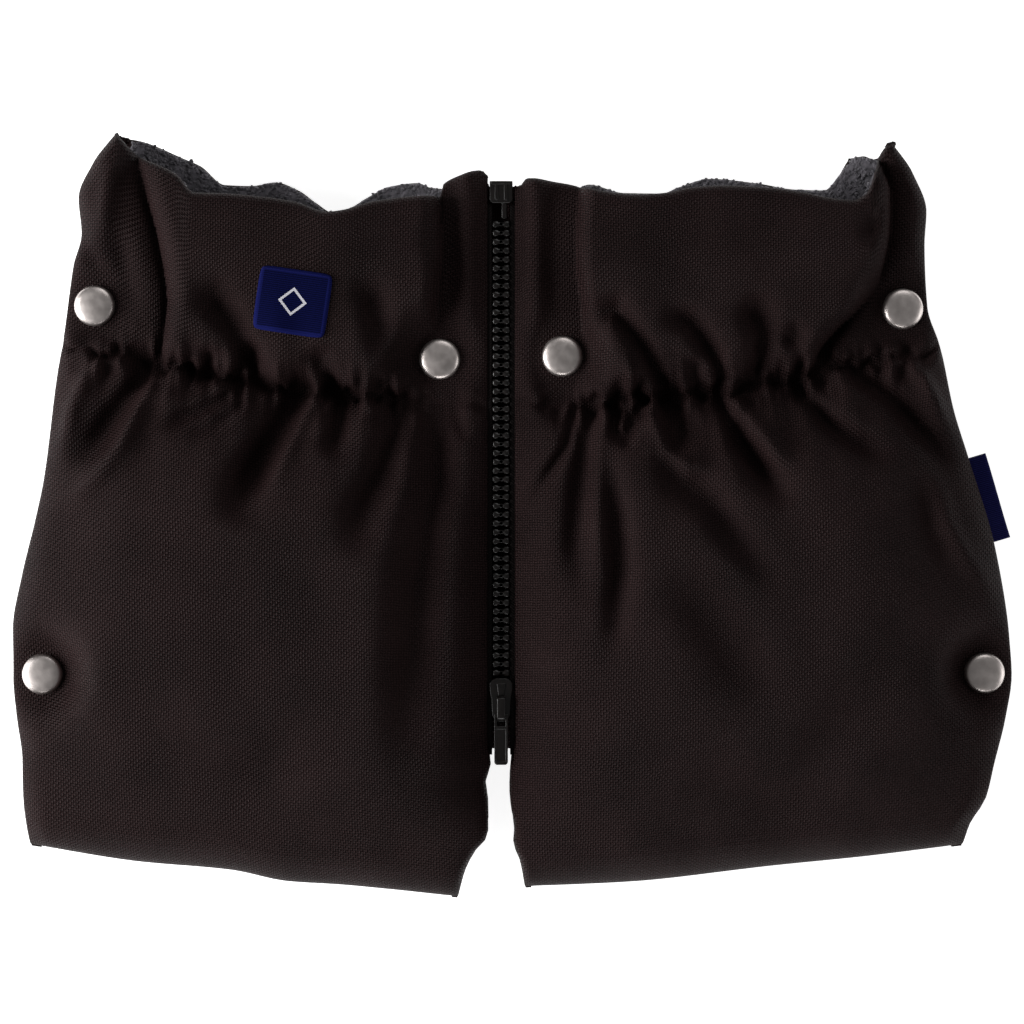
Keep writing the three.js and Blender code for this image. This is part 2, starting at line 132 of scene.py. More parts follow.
# Creases pressed into the front panels: points (a, y), depth, half width. A negative depth is a
# crest. Creases that start at the wrist band are where its elastic gathers the cloth.
CREASES = {
    "left": [
        ([(80, 45), (84.5, 31.6), (92.7, 16.8), (99, 4), (102, -5)], 6.5, 6),
        ([(74, 42), (79, 30), (88, 12), (97, -1)], -2.2, 3),
        ([(132, 54), (137.8, 47.2), (144.5, 37.2), (152.6, 26), (162, 16.8)], 4.2, 4.2),
        ([(131.5, 50), (136.7, 37.9), (143, 25), (150, 16), (158, 9), (169, 4)], -2.4, 3.2),
        ([(142, 57.5), (150, 56.4), (156, 50), (161, 39.8), (164.5, 28), (168, 17)], -2.2, 3.2),
        ([(105, 43), (113.8, 38.3), (123, 34.6), (131, 32)], 2.2, 2.6),
        ([(99, 40), (108, 33), (120, 28)], 1.2, 2.4),
        ([(42.7, 40), (43.5, 30), (48, 14.2), (54.2, 1.3), (58.6, -17)], 4.8, 5.6),
        ([(28.7, 40), (28.7, 11), (32, -2), (35, -27.6), (37.2, -61), (40, -104)], 5.4, 7.6),
        ([(21.6, 40), (17.2, 27)], 1.6, 1.9),
        ([(62, 41), (64, 30), (67, 20)], 2.6, 3.2),
        ([(118.6, 80.5), (108.6, 79.4), (100.8, 69.4), (96, 57)], 3.6, 4.6),
        ([(59.4, 87), (50.5, 79.4), (47.9, 68), (51, 54)], 3.0, 4.4),
        ([(72, 62), (67, 47)], 3.2, 3.4),
        ([(97, 65), (93.4, 50)], 3.0, 3.2),
        ([(38, 60), (44, 54), (48, 47)], 2.2, 3.0),
        ([(110, 62), (112, 52)], 2.4, 3.0),
        ([(141, 134), (147.4, 125), (150, 106), (152.6, 96)], -1.8, 3.2),
        ([(160, 107.5), (155.6, 95), (148, 86)], 1.6, 2.4),
        ([(146, 108), (143, 92), (139.7, 70)], 1.6, 3.4),
        ([(150, 66), (140, 60), (133, 57)], 1.5, 2.2),
        ([(60, -70), (90, -92), (125, -100)], 1.4, 9),
        ([(150, -60), (120, -84), (90, -108)], 1.2, 10),
        ([(28, 120), (30, 100), (27, 80)], 1.0, 2.4),
    ],
    "right": [
        ([(22.8, 40), (19.4, 25), (10.2, 10.5), (4, 4.6)], 2.4, 2.0),
        ([(28.7, 40), (25.7, 16.8), (23.5, -9), (25, -36)], 4.4, 4.6),
        ([(33.5, 30), (36.8, 5.7), (39, -20), (36.8, -42), (31, -57)], 4.2, 4.2),
        ([(30.5, 34), (30.8, 6), (31, -26)], -1.2, 3.4),
        ([(37.2, 40), (36.8, 31), (41.3, 28), (45.3, 37)], 2.4, 2.2),
        ([(58, 42), (61, 31), (66, 23)], 4.0, 5.2),
        ([(51.6, 35), (56, 24), (63.8, 16.8), (73, 18)], -1.8, 2.6),
        ([(52, 30), (60, 13), (73, 4), (81, -8), (98, -27)], 3.4, 4.6),
        ([(76.4, 43), (82.7, 27), (92, 15.4), (101.5, 2)], 4.8, 3.6),
        ([(84, 40), (92, 27), (101, 15)], -1.8, 3.2),
        ([(106.4, 46), (113.8, 34.6), (124, 27), (140, 19.8)], 3.4, 3.2),
        ([(124, 53), (139.7, 41.6), (153, 27), (162, 12)], 3.6, 3.6),
        ([(139.7, 60), (150, 50), (157, 38), (163, 26)], -2.4, 3.0),
        ([(152, 18), (158, -4), (167, -18), (179, -33)], -1.6, 3.4),
        ([(147, 18), (153, -4), (161, -20)], 1.4, 4.0),
        ([(57, -14), (72, -35), (98, -71)], 2.0, 8),
        ([(20, 72), (37.6, 75), (47.5, 62), (53.8, 50)], 3.6, 3.2),
        ([(26, 62), (34, 62), (42, 52)], -2.2, 4.6),
        ([(52.7, 75), (65.3, 70), (74, 58), (78, 50)], 3.4, 3.2),
        ([(86, 82), (91.5, 66), (90.8, 54)], 4.2, 4.4),
        ([(106.4, 70), (98, 60)], 2.4, 3.2),
        ([(66, 58), (65, 50)], 2.0, 2.6),
        ([(60, -88), (95, -104), (130, -106)], 1.3, 9),
        ([(140, -45), (120, -75), (95, -100)], 1.2, 10),
        ([(133, 112), (128, 98)], 1.8, 3.0),
    ],
}
# The back panels have only what the band gathers, and the softer folds of a panel lain upon.
BACK_CREASES = [
    ([(40, 42), (46, 20), (52, -10)], 3.0, 6),
    ([(74, 44), (78, 24), (90, 2)], 3.6, 6),
    ([(110, 50), (116, 30), (132, 8)], 3.2, 5.5),
    ([(140, 56), (148, 36), (158, 12)], 2.4, 5),
    ([(60, 50), (56, 66), (60, 84)], 2.6, 5),
    ([(98, 54), (102, 70), (96, 90)], 2.6, 5),
]

# A panel's height along Y, as (distance above the band, height): it swells over the pouch, dips at
# the band and swells again at the collar.
SWELL = [(-190, 22), (-130, 26), (-80, 27), (-48, 26), (-26, 22.5), (-12, 18.5), (-5, 14.5), (0, 11.5),
         (4, 15), (10, 19.5), (22, 21.8), (45, 21.5), (75, 18)]

# How many fleece curls lie along each collar's mouth, and the seed of their places.
CURLS = {("left", "front"): (2200, 41), ("right", "front"): (2200, 42),
         ("left", "back"): (3200, 51), ("right", "back"): (3200, 52)}

SNAPS = {"left": ["left_upper", "left_lower", "left_inner"],
         "right": ["right_inner", "right_upper", "right_lower"]}


# ---------------------------------------------------------------- shapes as functions

def smooth(t):
    """Smoothstep: 0 below 0, 1 above 1, 3t^2 - 2t^3 between."""
    t = np.clip(t, 0.0, 1.0)
    return t * t * (3 - 2 * t)


def dome(t):
    """Quarter circle: rises from 0 with an upright tangent to 1 at t = 1."""
    t = 1 - np.clip(t, 0.0, 1.0)
    return np.sqrt(1 - t * t)


def crown(t):
    """Parabola from 0 to 1 that arrives level at t = 1."""
    t = 1 - np.clip(t, 0.0, 1.0)
    return 1 - t * t


def through(points, at):
    """Cubic curve through points (place, value), with slopes limited so that it never overshoots."""
    px, py = np.array(points, float).T
    step = np.diff(px)
    rise = np.diff(py) / step
    slope = np.zeros(len(px))
    same_way = rise[:-1] * rise[1:] > 0
    mean = 2 * rise[:-1] * rise[1:] / np.where(same_way, rise[:-1] + rise[1:], 1)
    slope[1:-1] = np.where(same_way, mean, 0)
    slope[0], slope[-1] = rise[0], rise[-1]
    at = np.clip(at, px[0], px[-1])
    k = np.clip(np.searchsorted(px, at, side="right") - 1, 0, len(px) - 2)
    t = (at - px[k]) / step[k]
    h00, h10 = 2 * t**3 - 3 * t**2 + 1, t**3 - 2 * t**2 + t
    h01, h11 = -2 * t**3 + 3 * t**2, t**3 - t**2
    return h00 * py[k] + h10 * step[k] * slope[k] + h01 * py[k + 1] + h11 * step[k] * slope[k + 1]


def ripple(x, y, wavelength, seed, waves=9):
    """Smooth irregular ripple between about -1 and 1: sine waves in random directions, with
    wavelengths within 40% of the one asked for."""
    rng = np.random.default_rng(seed)
    total = np.zeros(np.broadcast(x, y).shape)
    for turn, stretch, phase in rng.random((waves, 3)):
        length = wavelength * (0.75 + 0.65 * stretch)
        angle = 2 * math.pi * turn
        along = x * math.cos(angle) + y * math.sin(angle)
        total += np.sin(2 * math.pi * (along / length + phase))
    return total / math.sqrt(waves)


def crease(points, depth, width, a, y):
    """How far a crease presses the cloth in: a bell across its line. It is deepest and narrowest
    where an end lies at the wrist band, and fades and widens towards a free end."""
    line = np.array(points, float)
    first_held, last_held = np.abs(line[[0, -1], 1] - band_y(line[[0, -1], 0])) < 10
    best = np.full(np.shape(a), 1e9)
    along = np.zeros(np.shape(a))
    lengths = np.hypot(*np.diff(line, axis=0).T)
    total, done = lengths.sum(), 0.0
    for (p, q), length in zip(zip(line[:-1], line[1:]), lengths):
        t = np.clip(((a - p[0]) * (q[0] - p[0]) + (y - p[1]) * (q[1] - p[1])) / length**2, 0, 1)
        distance = np.hypot(a - p[0] - t * (q[0] - p[0]), y - p[1] - t * (q[1] - p[1]))
        nearer = distance < best
        best = np.where(nearer, distance, best)
        along = np.where(nearer, (done + t * length) / total, along)
        done += length
    fade = np.ones(np.shape(a))
    if not first_held:
        fade = fade * smooth((along + 0.02) / 0.4)
    if not last_held:
        fade = fade * smooth((1.02 - along) / 0.45)
    loose = along if first_held else 1 - along if last_held else 0.6
    spread = width * (0.85 + 0.6 * loose)
    return depth * fade * np.exp(-((best / spread) ** 2))


def band_y(a):
    """The wrist band's line, which sags towards the zip."""
    return 41 + 20 * (np.abs(a) / 158) ** 1.8


def snap_points(half_name):
    """Place (a, y) of each snap of a half."""
    side = HALVES[half_name]["side"]
    for name in SNAPS[half_name]:
        x, y, _ = centre(f"{name}_snap_cap")
        yield side * x, y


def edges(half, a, y):
    """Distances inwards from the outer edge and from the inner edge."""
    outer = through(half["outer"], y)
    inner = through(half["inner"], y) + half["side"] * ZIP_X
    return outer - a, a - inner


def puffed(half_name, face, a, y):
    """Height of a panel's padded form, without creases. Along Y it follows SWELL. Across, the
    pouch is a crown between low edges, and the collar is a tube with steep sides that stands up
    between two flat strips."""
    half = HALVES[half_name]
    from_outer, from_inner = edges(half, a, y)
    above = y - band_y(a)
    swell = through(SWELL, above)
    rim = 8.5 + 1.5 * smooth((-above - 20) / 60)
    beside_zip = 7.4 + 3.5 * smooth((-y - 92) / 25)
    low = np.minimum(rim, beside_zip)
    pouch = rim + (swell - rim) * crown(from_outer / 62)
    pouch = beside_zip + (pouch - beside_zip) * crown(from_inner / 42)
    outer_wall = through(half["outer_wall"], y)
    zip_side = a - half["side"] * ZIP_X - half["inner_wall"] - 1.2 * np.sin(y / 9)
    tube = dome(zip_side / 6) * dome((outer_wall - a) / 9)
    by_zip = 6.2 + 4.2 * np.exp(-(((from_inner - 7.5) / 5) ** 2))
    by_edge = 6.4 + 4.6 * dome(np.clip((a - outer_wall - 1) / 11, 0, 1)) * smooth(from_outer / 9 + 0.4)
    strip = np.where(a > 80, by_edge, by_zip)
    if face == "back":
        tube = crown(from_inner / 40) * crown(from_outer / 45)
    collar = strip + (np.maximum(swell, strip) - strip) * tube
    height = collar + (pouch - collar) * smooth((2 - above) / 12)
    fold_distance = y - through(half["fold"], a)
    fold_height = 12.5 + (height - 12.5) * crown(fold_distance / 62)
    height = np.where(fold_distance < 62, np.minimum(height, np.maximum(fold_height, low)), height)
    return height


def roof(half_name, face, a, y):
    """Height of the shell's outer face: the padded form with its creases, the gathers either
    side of the band, and the snaps' seats."""
    half = HALVES[half_name]
    height = puffed(half_name, face, a, y)
    from_outer, from_inner = edges(half, a, y)
    inside = smooth(from_outer / 9) * smooth(from_inner / 9 + 0.1)
    above = y - band_y(a) - 0.9 * ripple(a, 0 * a, 17, 5) - 1.1 * ripple(a, 0 * a, 6.5, 6)
    creases = CREASES[half_name] if face == "front" else BACK_CREASES
    for points, depth, width in creases:
        pressed = CREASE_GAIN * crease(points, depth, width, a, y)
        height = height - pressed * (0.35 + 0.65 * inside)
    seed = 11 if half_name == "left" else 12
    strength = smooth((from_inner - 6) / 14) * (0.55 + 0.45 * inside)
    fine = ripple(a, 0.12 * y, 6.6, seed)
    coarse = ripple(a, 0.1 * y, 15, seed + 20)
    height = height + strength * 2.6 * fine * np.exp(-((above / 7) ** 2))
    height = height + strength * 2.3 * ripple(a, 0.3 * y, 4.4, seed + 60) * np.exp(-np.abs(above) / 4.5)
    height = height + strength * 2.2 * coarse * np.exp(-np.abs(above + 2) / 13)
    ragged = 0.8 + 0.4 * ripple(a, 0 * a, 9, seed + 70)
    height = height - (1.6 + 4.8 * strength * ragged) * np.exp(-((above / 1.7) ** 2))
    height = height + 0.35 * inside * ripple(a, y, 34, seed + 40)
    height = np.maximum(height, 5.2 + 0.2 * height)
    for sa, sy in snap_points(half_name):
        r = np.hypot(a - sa, y - sy)
        seat = np.where(r < 8.2, 1, np.exp(-(((r - 8.2) / 8) ** 2)))
        height = height + (SNAP_SEAT - height) * seat
    if face == "back":
        height = np.minimum(height, FLOOR - 1.5) + 1.5 * smooth((height - FLOOR + 3) / 4.5)
    return height


def gap(half_name, a, y):
    """Half the gap between the panels along their edges: wider at the snaps, and open at both
    ends of the handlebar's tunnel just above the fold."""
    height = REST_GAP + 0 * a
    half = HALVES[half_name]
    fold_distance = y - through(half["fold"], a)
    height = height + 4.0 * np.exp(-(((fold_distance - 27) / 12) ** 2))
    for sa, sy in snap_points(half_name):
        r = np.hypot(a - sa, y - sy)
        height = height + (SNAP_GAP - REST_GAP) * np.exp(-((r / 10) ** 4))
    return height


# ---------------------------------------------------------------- meshes

def make_mesh(name, points, faces, uv=None):
    """A mesh from points in millimetres and faces. uv is given for each point."""
    mesh = bpy.data.meshes.new(name)
    mesh.from_pydata((np.asarray(points, float) * MM).tolist(), [], [list(f) for f in faces])
    mesh.update()
    if uv is not None:
        layer = mesh.uv_layers.new(name="cloth")
        loops = np.zeros(len(mesh.loops), np.int32)
        mesh.loops.foreach_get("vertex_index", loops)
        layer.data.foreach_set("uv", np.asarray(uv, np.float32)[loops].ravel())
    mesh.polygons.foreach_set("use_smooth", np.ones(len(mesh.polygons), bool))
    piece = bpy.data.objects.new(name, mesh)
    bpy.context.scene.collection.objects.link(piece)
    return piece


def grid_faces(rows, columns, offset=0, flip=False):
    """Quads between neighbours of a rows x columns grid whose points are numbered row by row."""
    k = np.arange(rows * columns).reshape(rows, columns) + offset
    quads = np.stack([k[:-1, :-1], k[:-1, 1:], k[1:, 1:], k[1:, :-1]], -1).reshape(-1, 4)
    return quads[:, ::-1] if flip else quads


def slab(name, top, bottom, flip, uv=None):
    """A closed slab between two grids of points of the same size."""
    rows, columns, _ = top.shape
    count = rows * columns
    faces = [grid_faces(rows, columns, 0, flip), grid_faces(rows, columns, count, not flip)]
    k = np.arange(count).reshape(rows, columns)
    border = np.concatenate([k[0, :-1], k[:-1, -1], k[-1, :0:-1], k[:0:-1, 0]])
    after = np.roll(border, -1)
    wall = np.stack([after, border, border + count, after + count], -1)
    faces.append(wall[:, ::-1] if flip else wall)
    points = np.concatenate([top.reshape(-1, 3), bottom.reshape(-1, 3)])
    both = None if uv is None else np.concatenate([uv.reshape(-1, 2)] * 2)
    return make_mesh(name, points, np.concatenate(faces), both)


def lathe(name, x, y, profile, sides=48):
    """A closed turned piece about an upright axis. profile holds (radius, height over MID), and
    starts and ends on the axis."""
    turn = np.linspace(0, 2 * math.pi, sides, endpoint=False)
    rings = np.array(profile[1:-1], float)
    radius, height = rings[:, :1], rings[:, 1:]
    px = x + radius * np.cos(turn)
    py = y + radius * np.sin(turn)
    pz = MID + height + 0 * turn
    points = np.stack([px, py, pz], -1).reshape(-1, 3)
    points = np.vstack([points, [x, y, MID + profile[0][1]], [x, y, MID + profile[-1][1]]])
    k = np.arange(len(rings) * sides).reshape(len(rings), sides)
    after = np.roll(k, -1, axis=1)
    quads = np.stack([k[:-1], after[:-1], after[1:], k[1:]], -1).reshape(-1, 4).tolist()
    first, last = len(points) - 2, len(points) - 1
    caps = [[first, q, p] for p, q in zip(k[0], after[0])]
    caps += [[last, p, q] for p, q in zip(k[-1], after[-1])]
    return make_mesh(name, points, quads + caps)


def prism(outline, z0, z1, bevel):
    """Points and faces of an upright prism whose top and bottom edges are bevelled: the outline
    drawn in by `bevel` at both ends."""
    outline = np.array(outline, float)
    middle = outline.mean(0)
    size = np.abs(outline - middle).max(0)
    shrunk = middle + (outline - middle) * (1 - bevel / size)
    count = len(outline)
    rings = [(shrunk, z0), (outline, z0 + bevel), (outline, z1 - bevel), (shrunk, z1)]
    points = np.vstack([np.column_stack([ring, np.full(count, z)]) for ring, z in rings])
    k = np.arange(4 * count).reshape(4, count)
    after = np.roll(k, -1, axis=1)
    faces = np.stack([k[:-1], after[:-1], after[1:], k[1:]], -1).reshape(-1, 4).tolist()
    faces.append(k[0, ::-1].tolist())
    faces.append(k[-1].tolist())
    return points, faces


def joined(name, parts):
    """One mesh from several closed parts, each (points, faces)."""
    points, faces, offset = [], [], 0
    for part_points, part_faces in parts:
        points.append(part_points)
        faces += [[int(v) + offset for v in face] for face in part_faces]
        offset += len(part_points)
    return make_mesh(name, np.vstack(points), faces)


def rectangle(x0, x1, y0, y1, corner, steps=4):
    """Outline of a rectangle with round corners, anticlockwise."""
    out = []
    for cx, cy, start in ((x1 - corner, y0 + corner, -90), (x1 - corner, y1 - corner, 0),
                          (x0 + corner, y1 - corner, 90), (x0 + corner, y0 + corner, 180)):
        for t in np.radians(np.linspace(start, start + 90, steps)):
            out.append((cx + corner * math.cos(t), cy + corner * math.sin(t)))
    return out


# ---------------------------------------------------------------- panels

def column_places():
    """Every column of a panel as three numbers. Its place is inner + share * (outer - inner) +
    offset, and its roll is the angle that it has gone round under an edge, or 0 on the face."""
    under = np.radians([90, 72, 54, 36, 18])
    zip_edge = np.radians([0, 25, 50, 70])
    outer_edge = np.radians([75, 60, 46, 34, 24, 14, 6, 0])
    middle = np.linspace(0, 1, 170)
    share = np.concatenate([np.zeros(9), middle, np.ones(13)])
    offset = np.concatenate([
        ZIP_ROLL * (1 - np.cos(under)), ZIP_ROLL * (1 - np.cos(zip_edge)),
        ZIP_ROLL * (1 - middle) - RIM_ROLL * middle,
        -RIM_ROLL * (1 - np.cos(outer_edge)), -4 * (1 - np.cos(under[::-1]))])
    roll = np.concatenate([under, np.zeros(4 + len(middle) + 8), under[::-1]])
    return share, offset, roll


def spread_out(reach, first, growth):
    """Distances from 0 to reach, whose steps start at `first` and grow with the distance."""
    count = math.ceil(math.log(1 + growth * reach / first) / growth)
    steps = (np.exp(growth * np.arange(count + 1)) - 1) * first / growth
    return steps * reach / steps[-1]


def row_places(face):
    """Every row of a panel as (kind, value). Fold rows are millimetres up from the bottom fold,
    `below` and `above` rows are shares of the way from the band to the fold's roll and to the
    lip, lip rows are millimetres below the collar's edge, under rows are angles beneath it, and
    hem rows are millimetres further in."""
    heights = np.array([0, 0.1, 0.2, 0.3, 0.4, 0.5, 0.62, 1.0, 1.6, 2.4, 3.4, 4.6, 6, 7.4, 8.8,
                        10.2, 11.4, 12.2]) / 12.5
    first, growth = (1.1, 0.016) if face == "front" else (2.4, 0.03)
    angles = np.radians([90, 70, 50, 30, 12, 0])
    places = [("fold", FOLD_ROLL * (1 - math.sqrt(1 - h * h))) for h in heights]
    places += [("below", value) for value in spread_out(160, first, growth)[::-1] / 160]
    places += [("above", value) for value in spread_out(72, first, growth)[1:-1] / 72]
    places += [("lip", LIP_ROLL * (1 - math.cos(angle))) for angle in angles]
    places += [("under", math.radians(angle)) for angle in (18, 36, 54, 72, 90)]
    places += [("hem", 1.2), ("hem", 2.6)]
    return places


def row_y(half, kind, value, a, rim):
    """Y of one row at every column."""
    top = through(half[rim], a)
    fold = through(half["fold"], a)
    if kind == "fold":
        return fold + value
    if kind == "below":
        return band_y(a) - (band_y(a) - fold - FOLD_ROLL) * value
    if kind == "above":
        return band_y(a) + (top - LIP_ROLL - band_y(a)) * value
    if kind == "lip":
        return top - value
    if kind == "under":
        return top - LIP_ROLL * (1 - math.cos(value))
    return top - LIP_ROLL - value


def panel_layers(half_name, face, a, y):
    """Heights of a panel's outer face and of its inner side along the edges and at the lip."""
    half = HALVES[half_name]
    from_inner = edges(half, a, y)[1]
    high = roof(half_name, face, a, y)
    low = gap(half_name, a, y)
    if face == "front":
        over_tape = (CHAIN_Z + 0.4 - low) * smooth((y + 99) / 11)
        low = low + np.maximum(over_tape, 0) * np.exp(-np.maximum(from_inner, 0) / 6)
    to_top = through(half[f"{face}_rim"], a) - y
    lip_low = np.maximum(high - LIP_THICK, low)
    return high, low + (lip_low - low) * smooth((15 - to_top) / 7)


def panel_sheet(half_name, face):
    """Points of one panel's shell as a grid of rows from the fold to inside the collar's lip.
    Every edge is a roll: the face falls along a quarter circle to the roll's middle, and the
    underside returns along another one, to the gap between the panels."""
    half = HALVES[half_name]
    share, offset, column_roll = column_places()
    under_column = column_roll > 0
    grid = []
    for kind, value in row_places(face):
        y = np.full(len(share), -60.0)
        for _ in range(7):
            outer = through(half["outer"], y)
            inner = through(half["inner"], y) + half["side"] * ZIP_X
            a = inner + share * (outer - inner) + offset
            y = row_y(half, kind, value, a, f"{face}_rim")
        row_roll = value if kind == "under" else math.pi / 2 if kind == "hem" else 0
        from_outer, from_inner = edges(half, a, y)
        to_top = through(half[f"{face}_rim"], a) - y
        swing = dome(from_outer / RIM_ROLL) * dome(from_inner / ZIP_ROLL) * dome(to_top / LIP_ROLL)
        swing = np.where(under_column, -np.sin(column_roll), swing)
        if row_roll:
            swing = np.minimum(np.where(under_column, swing, 0), -math.sin(row_roll))
        high, low = panel_layers(half_name, face, a, y)
        low = np.minimum(low, 0.3 * high if kind == "fold" else high - 1.2)
        middle = low + 0.42 * (high - low)
        reach = np.where(swing >= 0, high - middle, middle - low)
        height = (middle + reach * swing) * dome((y - through(half["fold"], a)) / FOLD_ROLL)
        grid.append(np.stack([a, y, height], -1))
    return np.array(grid)


def cloth_uv(grid):
    """Millimetres along the cloth: across is the distance from the zip, up follows each row."""
    step = np.hypot(np.diff(grid[..., 1], axis=0), np.diff(grid[..., 2], axis=0)).mean(1)
    up = np.concatenate([[0], np.cumsum(step)])
    return np.stack([grid[..., 0], up[:, None] + 0 * grid[..., 0]], -1)


def place(half_name, face, a, y, height):
    """Points in the frame, from a half's own coordinates."""
    up = 1 if face == "front" else -1
    return np.stack([HALVES[half_name]["side"] * a, y, MID + up * height], -1)


def turned_over(half_name, face):
    """Whether a grid of rows along Y and columns along `a` faces inwards as it is placed."""
    return (HALVES[half_name]["side"] > 0) != (face == "front")


def make_shell(half_name):
    """One half's woven shell, in one piece from the front collar round the bottom fold to the back
    collar."""
    front, back = panel_sheet(half_name, "front"), panel_sheet(half_name, "back")
    front_uv, back_uv = cloth_uv(front), cloth_uv(back)
    back_uv[..., 1] *= -1
    over = place(half_name, "front", *np.moveaxis(front, -1, 0))
    under = place(half_name, "back", *np.moveaxis(back, -1, 0))
    points = np.concatenate([over[::-1], under[1:]])
    uv = np.concatenate([front_uv[::-1], back_uv[1:]])
    rows, columns, _ = points.shape
    faces = grid_faces(rows, columns, 0, HALVES[half_name]["side"] > 0)
    shell = make_mesh(f"{half_name}_shell", points.reshape(-1, 3), faces, uv.reshape(-1, 2))
    wall = shell.modifiers.new("cloth thickness", "SOLIDIFY")
    wall.thickness = 0.6 * MM
    wall.offset = -1
    return shell


# ---------------------------------------------------------------- inside the panels

def inner_grid(half_name, face, rows, columns, margins):
    """Places (a, y) of a piece that lies inside a panel. margins are its distances from the zip
    side, the outer edge, the fold and the collar's edge."""
    half = HALVES[half_name]
    inside, outside, below, above = margins
    u = np.linspace(0, 1, columns)[None, :]
    v = np.linspace(0, 1, rows)[:, None]
    y = np.full((rows, columns), 0.0)
    for _ in range(8):
        outer = through(half["outer"], y) - outside
        inner = through(half["inner"], y) + half["side"] * ZIP_X + inside
        a = inner + (outer - inner) * u
        low = through(half["fold"], a) + below
        high = through(half[f"{face}_rim"], a) - above
        y = low + (high - low) * v
    return a, y, u, v


FLEECE_GRID = 150     # rows and columns of a fleece lining


def lining_layers(half_name, face):
    """The fleece's grid: (a, y), its inner and outer height, the least height of the shell over
    it, and its own coordinates u and v. The fleece bridges the shell's narrow creases: it follows
    the lowest height within two steps of the grid, smoothed over three."""
    margins = (4.5, 8, 5, 1.4)
    a, y, u, v = inner_grid(half_name, face, FLEECE_GRID, FLEECE_GRID, margins)
    high = panel_layers(half_name, face, a, y)[0]
    low = high
    for _ in range(2):
        low = spread(low, np.minimum.reduce)
    lowest = low
    for _ in range(3):
        low = spread(low, lambda near: np.mean(near, axis=0))
    high = np.minimum(low, high)
    gap_low = gap(half_name, a, y) + 0.25
    inner = np.maximum(high - PANEL, gap_low)
    outer = np.maximum(np.minimum(inner + 2.6, high - 3.4), inner + 0.5)
    return a, y, inner, outer, lowest, u, v


def spread(grid, rule):
    """A grid whose every value is a rule's result over itself and its eight neighbours."""
    wide = np.pad(grid, 1, mode="edge")
    rows, columns = grid.shape
    return rule([wide[p:p + rows, q:q + columns] for p in range(3) for q in range(3)])


def make_lining(half_name, face, layers):
    """The fleece: a closed slab whose inner face is a bumpy pile, thinned to its edges."""
    a, y, inner, outer, _, u, v = layers
    pile = 0.5 * ripple(a, y, 5.2, 31) + 0.3 * ripple(a, y, 4.0, 32)
    edge = dome(v / 0.03) * dome((1 - v) / 0.012) * dome(u / 0.02) * dome((1 - u) / 0.02)
    middle = (inner + outer) / 2
    inner = middle + (inner + (0.5 + pile) * 0.6 * edge - middle) * edge
    outer = middle + (outer - middle) * edge
    return slab(f"{half_name}_{face}_fleece", place(half_name, face, a, y, outer),
                place(half_name, face, a, y, inner), turned_over(half_name, face),
                np.stack([a, y], -1))


def make_wadding(half_name, face, layers):
    """The wadding: a closed pad on the fleece's own grid, between the fleece and the shell, which
    keeps clear of the collar's lip and closes in a round edge."""
    a, y, _, outer, lowest = [part[6:-9, 3:-3] for part in layers[:5]]
    rows, columns = a.shape
    u = np.linspace(0, 1, columns)[None, :]
    v = np.linspace(0, 1, rows)[:, None]
    low = outer + 0.2
    top = np.maximum(lowest - 1.1, low + 0.4)
    edge = dome(v / 0.06) * dome((1 - v) / 0.06) * dome(u / 0.05) * dome((1 - u) / 0.05)
    upper = place(half_name, face, a, y, low + 0.1 + (top - low - 0.1) * edge)
    return slab(f"{half_name}_{face}_wadding_pad", upper, place(half_name, face, a, y, low),
                turned_over(half_name, face))


def make_elastic(half_name, face):
    """The elastic in the wrist channel: a ribbon 5 mm wide along the band's line, just under the
    shell, which its pull draws into small waves."""
    end = through(HALVES[half_name]["outer"], 62.0) - 9
    along = np.linspace(17, end, 240)[None, :]
    across = np.linspace(-2.5, 2.5, 5)[:, None]
    a = along + 0 * across
    y = band_y(a) + across
    near = [roof(half_name, face, a, y + step) for step in (-3.5, -2, -1, 0, 1, 2, 3.5)]
    high = np.minimum.reduce(near).min(0, keepdims=True)
    high = np.minimum(high, np.roll(high, 1, 1))
    high = high - 1.3 + 0.12 * np.sin(a * 2.1)
    return slab(f"{half_name}_{face}_elastic_ribbon", place(half_name, face, a, y, high),
                place(half_name, face, a, y, high - 0.5), turned_over(half_name, face),
                np.stack([a, across + 0 * a], -1))


def between(grid, row, column):
    """A grid's values at fractional rows and columns, mixed from the four around each."""
    r, c = np.floor(row).astype(int), np.floor(column).astype(int)
    r, c = np.clip(r, 0, grid.shape[0] - 2), np.clip(c, 0, grid.shape[1] - 2)
    p, q = row - r, column - c
    upper = grid[r, c] * (1 - q) + grid[r, c + 1] * q
    lower = grid[r + 1, c] * (1 - q) + grid[r + 1, c + 1] * q
    return upper * (1 - p) + lower * p


